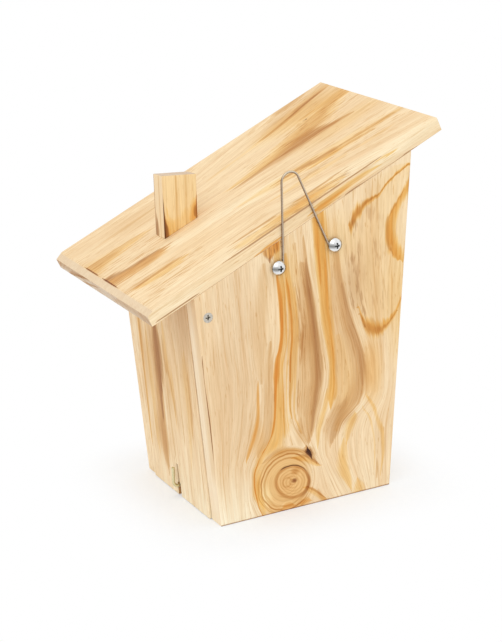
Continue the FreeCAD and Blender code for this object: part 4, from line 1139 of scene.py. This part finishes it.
SIDE_STREAKS = (
    Streak("brown", 0.4, 1.0, 0.5, 0.5, ((30, 50, 1.6), (110, 50, 4.4), (180, 49, 3.8), (240, 48, 2))),
    Streak("umber", 0.14, 0.9, 0.8, 0.5, ((60, 51.6, 0.8), (130, 52, 1.8), (200, 51, 1))),
    Streak("amber", 0.5, 0.7, 0.7, 0.4, ((60, 41, 1.6), (140, 40.4, 2.6), (240, 40, 2))),
    Streak("orange", 0.25, 0.7, 0.7, 0.5, ((90, 43, 0.5), (160, 42.8, 0.9), (230, 42, 0.6))),
    Streak("amber", 0.4, 0.8, 0.8, 0.5, ((130, 30, 1.4), (180, 30, 2.2), (240, 29, 2))),
    Streak("cream", 0.5, 0.8, 0.8, 0.3, ((20, 56.4, 0.8), (120, 56, 1.2), (240, 55, 0.8))),
    Streak("brown", 0.24, 0.9, 0.9, 0.7, ((-8, 66, 4), (60, 66, 5), (140, 64, 3))),
)
FLOOR_HEART = Heart(14.0, 24.0, 0.1)
FLOOR_RINGS = Rings(15.0, 48.0, 257.0)
FLOOR_STREAKS = (
    Streak("amber", 0.45, 0.7, 0.7, 0.4, ((-60, 30, 2), (0, 31, 2.4), (60, 30, 2))),
    Streak("brown", 0.35, 0.9, 0.6, 0.5, ((-60, 44, 2), (0, 45, 3.4), (60, 44, 2))),
)
PLAIN_DRIFT = Noise((34.0, 120.0, 34.0), 2.0, 0.5, 0.2, 0.8)
PLAIN_DRIFT_REACH = 5.0
PLAIN_RAGGED = 6.0
# Look of every plain board, apart from its seed
PLAIN_LOOK = Look(0.0, 1.15, 0.12, 0.0)


def dress_plain_board(pine, node, grain, heart, rings, streaks):
    """A board with arched grain and a few streaks that follow it."""
    material, shade, shader = new_material(node + "_pine")
    across, along, depth = board_place(shade, grain)
    place = shade.combine(across, along, shade.math("ADD", depth, rings.seed))
    level = shade.math("ADD", across, shade.sway(place, PLAIN_DRIFT, PLAIN_DRIFT_REACH))
    flow = arches(shade, level, along, heart)
    look = PLAIN_LOOK._replace(seed=rings.seed)
    colour, marks = plain_pine(shade, pine, flow, along, depth, look, level)
    torn = shade.math("MULTIPLY_ADD", marks.ragged, PLAIN_RAGGED, along)
    colour = lay_streaks(shade, pine, colour, torn, flow, marks, streaks)
    ends = sawn_end(shade, pine, across, depth, rings)
    colour = shade.blend(facing_share(shade, grain.along), colour, ends)
    finish_board(shade, shader, pine, colour, marks.relief)
    wear(node, material)


def dress_front_panel(pine):
    """The front board round the entrance."""
    low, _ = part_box("front_panel")
    grain = Grain(Vector((0, low.y, 0)), Vector((1, 0, 0)), Vector((0, 0, 1)), Vector((0, 1, 0)))
    dress_plain_board(pine, "front_panel", grain, FRONT_HEART, FRONT_RINGS, FRONT_STREAKS)


def dress_side_wall(pine):
    """The fixed wall opposite the door."""
    off, reach = widest_face("side_wall", Vector((-1, 0, 0)))
    grain = Grain(Vector((reach / off.x, 0, 0)), Vector((0, -1, 0)), Vector((off.z, 0, -off.x)), -off)
    dress_plain_board(pine, "side_wall", grain, SIDE_HEART, SIDE_RINGS, SIDE_STREAKS)


def dress_floor_panel(pine):
    """The floor board inside the walls, its grain from front to back."""
    _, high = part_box("floor_panel")
    grain = Grain(Vector((0, 0, high.z)), Vector((1, 0, 0)), Vector((0, 1, 0)), Vector((0, 0, -1)))
    dress_plain_board(pine, "floor_panel", grain, FLOOR_HEART, FLOOR_RINGS, FLOOR_STREAKS)


DOWEL_FLECKS = Noise((0.6, 3.0, 0.6), 2.0, 0.5, 0.45, 0.7)


def dress_dowels(pine):
    """The hidden dowels, in plain fine-grained wood."""
    material, shade, shader = new_material("dowel_beech")
    flecks = shade.patches(millimetres(shade), DOWEL_FLECKS)
    colour = shade.blend(flecks, tuple(pine.end_grain), tuple(pine.earlywood))
    finish_board(shade, shader, pine, colour, flecks)
    for node in DOWELS:
        wear(node, material)


ZINC = Metal(0.8, 0.9, 0.5)
PLATING = Metal(0.8, 1.4, 0.3)
WIRE = Metal(0.7, 2.4, 0.1)
WIRE_ROUGHNESS = 0.25
BRASS = Metal(0.85, 1.1, 0.7)
BRASS_ROUGHNESS = 0.4
# Detail and roughness of the metals' mottle, the values where dull spots start and are full, and those where
# the polish starts and ends to change, with the shares of the roughness there
MOTTLE_DETAIL = 3.0
MOTTLE_ROUGH = 0.6
MOTTLE_DULL = (0.4, 0.75)
MOTTLE_POLISH = (0.3, 0.7)
POLISH_SHARES = (0.8, 1.25)
# Strength of the metals' raised mottle and its height in metres
METAL_BUMP = 0.12
METAL_BUMP_HEIGHT = 0.00004


def metal_material(name, colour, roughness, kind):
    """Metal with a faint mottle in its colour and its polish, darker at its grazing edges."""
    material, shade, shader = new_material(name)
    place = millimetres(shade)
    mottle = shade.noise(place, Noise((kind.spot_size,) * 3, MOTTLE_DETAIL, MOTTLE_ROUGH, *MOTTLE_DULL))
    dulled = tuple(channel * kind.dull for channel in colour)
    tint = shade.blend(shade.rise(mottle, *MOTTLE_DULL), tuple(colour), dulled)
    shade.feed(shader.inputs["Base Color"], tint)
    polish = shade.remap(mottle, *MOTTLE_POLISH, *(roughness * share for share in POLISH_SHARES))
    shade.feed(shader.inputs["Roughness"], polish)
    shader.inputs["Metallic"].default_value = 1.0
    shader.inputs["Specular Tint"].default_value = (kind.edge, kind.edge, kind.edge, 1.0)
    shade.bump(shader, mottle, METAL_BUMP, METAL_BUMP_HEIGHT)
    return material, shade, shader, place, tint


# Painted shade off the flat of the countersunk screws' heads: how squarely faces look out, and its strengths
ZINC_PAINTED_SHADE = (0.95, 0.8, 0.0, 0.4)


def dress_countersunk_screws(metal):
    """Zinc screws in the pivots and under the chimney block, with painted shade off the flat of their heads.
    """
    roof_normal, _ = widest_face("roof_board", Vector((0, 0, 1)))
    for node in COUNTERSUNK_SCREWS:
        axis = roof_normal if node == "chimney_screw" else Vector((0, 1, 0))
        material, shade, shader, _, tint = metal_material(
            node + "_zinc", metal.zinc, metal.zinc_roughness, ZINC)
        # Painted shade in the driver recess and on every face that turns away from the head's flat
        painted_off_flat_shade = shade.remap(facing(shade, axis), *ZINC_PAINTED_SHADE)
        shade.feed(shader.inputs["Base Color"], shade.blend(painted_off_flat_shade, tint, tuple(metal.painted_dark)))
        wear(node, material)


# On a round head: depth of the painted shade in the recess and under the dome's rim, with its strengths, and
# the reach to one side of a band of painted dark reflection, with its strengths, and its half height, all
# lengths in millimetres
RECESS_SHADE = (0.1, 0.6, 0.0, 0.5)
PAINTED_REFLECTION_REACH = (-1.5, 2.5, 0.0, 0.9)
PAINTED_REFLECTION_HALF = 2.6


def dress_hanger_screws(metal):
    """Bright round heads that hold the hanger, with painted shade in recesses and a painted dark reflection
    band.
    """
    for node in HANGER_SCREWS:
        material, shade, shader, place, tint = metal_material(
            node + "_plating", metal.plating, metal.plating_roughness, PLATING)
        low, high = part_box(node)
        crown = Vector(((low.x + high.x) / 2, high.y, (low.z + high.z) / 2)) * PER_METRE
        ball = crown - Vector((0, HEAD_BALL, 0))
        # Painted shade: darker inside the dome's sphere, which takes the driver recess and the foot of the
        # rim
        away = shade.vector("DISTANCE", place, tuple(ball))
        start, full, none, most = RECESS_SHADE
        painted_dome_shade = shade.remap(away, HEAD_BALL - start, HEAD_BALL - full, none, most)
        # Painted dark reflection: a darker band on one side of the head
        aside = shade.vector("SUBTRACT", place, tuple(crown))
        level = shade.math("ABSOLUTE", shade.vector("DOT_PRODUCT", aside, (0.0, 0.0, 1.0)))
        reach = shade.remap(shade.vector("DOT_PRODUCT", aside, (1.0, 0.0, 0.0)), *PAINTED_REFLECTION_REACH)
        painted_reflection = shade.times(reach, shade.rise(level, PAINTED_REFLECTION_HALF, 0.0))
        tint = shade.blend(painted_reflection, tint, tuple(metal.painted_dark))
        shade.feed(shader.inputs["Base Color"], shade.blend(painted_dome_shade, tint, tuple(metal.painted_dark)))
        wear(node, material)


# How far the wire's surface looks to its upper side where the painted highlight starts and is full
WIRE_PAINTED_HIGHLIGHT = (0.05, 0.8)


def dress_hanger_wire(metal):
    """The bent hanger wire, with a painted highlight along its upper side."""
    material, shade, shader, _, tint = metal_material("hanger_wire_steel", metal.wire, WIRE_ROUGHNESS, WIRE)
    normal = shade.node("ShaderNodeTexCoord").outputs["Normal"]
    # Painted highlight: faces turned to the upper side take the light colour
    lit = shade.rise(shade.vector("DOT_PRODUCT", normal, WIRE_PAINTED_HIGHLIGHT_SIDE), *WIRE_PAINTED_HIGHLIGHT)
    shade.feed(shader.inputs["Base Color"], shade.blend(lit, tint, tuple(metal.wire_painted_highlight)))
    wear("hanger_wire", material)


def dress_latch_hook(metal):
    """The bent hook that holds the door."""
    wear("latch_hook", metal_material("latch_hook_brass", metal.brass, BRASS_ROUGHNESS, BRASS)[0])


WHITE = (1.0, 1.0, 1.0, 1.0)
ORIGIN = (0.0, 0.0, 0.0)
# The floor is a little blue, which evens out the warm light that comes back off the wood
FLOOR_COLOUR = (0.93, 0.965, 1.0, 1.0)
FLOOR_ROUGHNESS = 0.9
# From the box's middle to the large lamp, in metres
KEY_PLACE = Vector((0.9, 0.9, 1.3))


def white_for_sight(shade):
    """1 for rays from the camera or off shiny metal, 0 for the light's own rays."""
    path = shade.node("ShaderNodeLightPath").outputs
    shiny = shade.math("MAXIMUM", path["Is Glossy Ray"], path["Is Transmission Ray"])
    return shade.math("MAXIMUM", path["Is Camera Ray"], shiny)


def build_sky(studio):
    """An even white sky."""
    world = bpy.data.worlds.new("studio_sky")
    bpy.context.scene.world = world
    world.use_nodes = True
    shade = Shading(world.node_tree)
    lit = shade.nodes["Background"]
    seen = shade.node("ShaderNodeBackground")
    for sky, strength in ((lit, studio.sky), (seen, 1.0)):
        shade.feed_all(sky, (WHITE, strength))
    both = shade.node("ShaderNodeMixShader")
    shade.feed_all(both, (white_for_sight(shade), lit.outputs[0], seen.outputs[0]))
    shade.feed(shade.nodes["World Output"].inputs["Surface"], both.outputs[0])


def build_floor(studio):
    """A plain white floor that keeps the box's shadow."""
    mesh = bpy.data.meshes.new("studio_floor")
    made = bmesh.new()
    bmesh.ops.create_grid(made, x_segments=2, y_segments=2, size=studio.floor_size / 2)
    made.to_mesh(mesh)
    made.free()
    floor = bpy.data.objects.new("studio_floor", mesh)
    bpy.context.scene.collection.objects.link(floor)
    floor.location.z = CAD_BOX[0].z
    material, shade, shader = new_material("studio_floor_white")
    shader.inputs["Base Color"].default_value = FLOOR_COLOUR
    shader.inputs["Roughness"].default_value = FLOOR_ROUGHNESS
    shader.inputs["Specular IOR Level"].default_value = 0.0
    glow = shade.node("ShaderNodeEmission")
    both = shade.node("ShaderNodeMixShader")
    spot = shade.node("ShaderNodeTexCoord").outputs["Object"]
    beyond = shade.vector("SUBTRACT", shade.vector("ABSOLUTE", spot, ORIGIN), FOOT_HALF)
    away = shade.vector("DISTANCE", shade.vector("MAXIMUM", beyond, ORIGIN), ORIGIN)
    white = shade.remap(away, 0.0, studio.shadow_reach, studio.floor_glow, 1.0, "SMOOTHSTEP")
    share = shade.times(white_for_sight(shade), white)
    shade.feed_all(both, (share, shader.outputs[0], glow.outputs[0]))
    shade.feed(shade.nodes["Material Output"].inputs["Surface"], both.outputs[0])
    mesh.materials.append(material)


def build_lamp(studio):
    """A large square soft lamp over the camera's shoulder."""
    light = bpy.data.lights.new("key_lamp", "AREA")
    light.energy = studio.key_power
    light.size = studio.key_size
    lamp = bpy.data.objects.new("key_lamp", light)
    bpy.context.scene.collection.objects.link(lamp)
    middle = (CAD_BOX[0] + CAD_BOX[1]) / 2
    lamp.location = middle + KEY_PLACE
    lamp.rotation_euler = (middle - lamp.location).to_track_quat("-Z", "Y").to_euler()


def build_camera(studio):
    """The camera at the photograph's place and angle."""
    flat = math.cos(studio.elevation)
    back = Vector((math.sin(studio.azimuth) * flat, -math.cos(studio.azimuth) * flat,
                   math.sin(studio.elevation)))
    level_right = (-back).cross(Vector((0, 0, 1))).normalized()
    level_down = (-back).cross(level_right)
    right = level_right * math.cos(studio.roll) + level_down * math.sin(studio.roll)
    down = level_down * math.cos(studio.roll) - level_right * math.sin(studio.roll)
    data = bpy.data.cameras.new("photo_camera")
    data.lens = studio.lens
    camera = bpy.data.objects.new("photo_camera", data)
    bpy.context.scene.collection.objects.link(camera)
    turn = camera.matrix_world.to_3x3()
    for column, axis in enumerate((right, -down, back)):
        turn.col[column] = axis
    camera.matrix_world = turn.to_4x4()
    camera.location = back * studio.distance - right * studio.aim_right - down * studio.aim_down
    bpy.context.scene.camera = camera


def build_studio(studio):
    """Sky, floor, lamp and camera."""
    bpy.context.scene.view_settings.view_transform = "Standard"
    build_sky(studio)
    build_floor(studio)
    build_lamp(studio)
    build_camera(studio)


class NESTBOX_OT_back_panel(bpy.types.Operator):
    """Dress the back panel"""

    bl_idname = "nestbox.back_panel"
    bl_label = "Back Panel"

    def execute(self, context):
        dress_back_panel(context.scene.nest_pine)
        return {"FINISHED"}


class NESTBOX_OT_front_panel(bpy.types.Operator):
    """Dress the front panel"""

    bl_idname = "nestbox.front_panel"
    bl_label = "Front Panel"

    def execute(self, context):
        dress_front_panel(context.scene.nest_pine)
        return {"FINISHED"}


class NESTBOX_OT_side_wall(bpy.types.Operator):
    """Dress the fixed side wall"""

    bl_idname = "nestbox.side_wall"
    bl_label = "Side Wall"

    def execute(self, context):
        dress_side_wall(context.scene.nest_pine)
        return {"FINISHED"}


class NESTBOX_OT_floor_panel(bpy.types.Operator):
    """Dress the floor panel"""

    bl_idname = "nestbox.floor_panel"
    bl_label = "Floor Panel"

    def execute(self, context):
        dress_floor_panel(context.scene.nest_pine)
        return {"FINISHED"}


class NESTBOX_OT_roof_board(bpy.types.Operator):
    """Dress the roof board"""

    bl_idname = "nestbox.roof_board"
    bl_label = "Roof Board"

    def execute(self, context):
        dress_roof_board(context.scene.nest_pine)
        return {"FINISHED"}


class NESTBOX_OT_chimney_block(bpy.types.Operator):
    """Dress the chimney block"""

    bl_idname = "nestbox.chimney_block"
    bl_label = "Chimney Block"

    def execute(self, context):
        dress_chimney_block(context.scene.nest_pine)
        return {"FINISHED"}


class NESTBOX_OT_clean_out_door(bpy.types.Operator):
    """Dress the clean-out door"""

    bl_idname = "nestbox.clean_out_door"
    bl_label = "Clean-out Door"

    def execute(self, context):
        dress_clean_out_door(context.scene.nest_pine)
        return {"FINISHED"}


class NESTBOX_OT_dowels(bpy.types.Operator):
    """Dress the hidden dowels"""

    bl_idname = "nestbox.dowels"
    bl_label = "Dowels"

    def execute(self, context):
        dress_dowels(context.scene.nest_pine)
        return {"FINISHED"}


class NESTBOX_OT_countersunk_screws(bpy.types.Operator):
    """Dress the countersunk screws"""

    bl_idname = "nestbox.countersunk_screws"
    bl_label = "Countersunk Screws"

    def execute(self, context):
        dress_countersunk_screws(context.scene.nest_metal)
        return {"FINISHED"}


class NESTBOX_OT_hanger_screws(bpy.types.Operator):
    """Dress the hanger's round-head screws"""

    bl_idname = "nestbox.hanger_screws"
    bl_label = "Hanger Screws"

    def execute(self, context):
        dress_hanger_screws(context.scene.nest_metal)
        return {"FINISHED"}


class NESTBOX_OT_hanger_wire(bpy.types.Operator):
    """Dress the hanger wire"""

    bl_idname = "nestbox.hanger_wire"
    bl_label = "Hanger Wire"

    def execute(self, context):
        dress_hanger_wire(context.scene.nest_metal)
        return {"FINISHED"}


class NESTBOX_OT_latch_hook(bpy.types.Operator):
    """Dress the latch hook"""

    bl_idname = "nestbox.latch_hook"
    bl_label = "Latch Hook"

    def execute(self, context):
        dress_latch_hook(context.scene.nest_metal)
        return {"FINISHED"}


class NESTBOX_OT_studio(bpy.types.Operator):
    """Build the floor, the light and the camera"""

    bl_idname = "nestbox.studio"
    bl_label = "Studio"

    def execute(self, context):
        build_studio(context.scene.nest_studio)
        return {"FINISHED"}


STEPS = (
    NESTBOX_OT_back_panel,
    NESTBOX_OT_front_panel,
    NESTBOX_OT_side_wall,
    NESTBOX_OT_floor_panel,
    NESTBOX_OT_roof_board,
    NESTBOX_OT_chimney_block,
    NESTBOX_OT_clean_out_door,
    NESTBOX_OT_dowels,
    NESTBOX_OT_countersunk_screws,
    NESTBOX_OT_hanger_screws,
    NESTBOX_OT_hanger_wire,
    NESTBOX_OT_latch_hook,
    NESTBOX_OT_studio,
)


class NESTBOX_PT_panel(bpy.types.Panel):
    """The nest box's steps and finishes"""

    bl_idname = "NESTBOX_PT_panel"
    bl_label = "Nest Box"
    bl_space_type = "VIEW_3D"
    bl_region_type = "UI"
    bl_category = "Nest Box"

    def draw(self, context):
        for step in STEPS:
            self.layout.operator(step.bl_idname)
        for group in (context.scene.nest_pine, context.scene.nest_metal, context.scene.nest_studio):
            column = self.layout.column()
            for name in group.__annotations__:
                column.prop(group, name)


GROUPS = {"nest_pine": PineFinish, "nest_metal": MetalFinish, "nest_studio": StudioSetup}
CLASSES = (*GROUPS.values(), *STEPS, NESTBOX_PT_panel)


def register():
    for item in CLASSES:
        bpy.utils.register_class(item)
    for name, group in GROUPS.items():
        setattr(bpy.types.Scene, name, bpy.props.PointerProperty(type=group))


def unregister():
    for name in GROUPS:
        delattr(bpy.types.Scene, name)
    for item in reversed(CLASSES):
        bpy.utils.unregister_class(item)


def main():
    register()
    for step in STEPS:
        area, name = step.bl_idname.split(".")
        getattr(getattr(bpy.ops, area), name)()


if __name__ == "__main__":
    main()
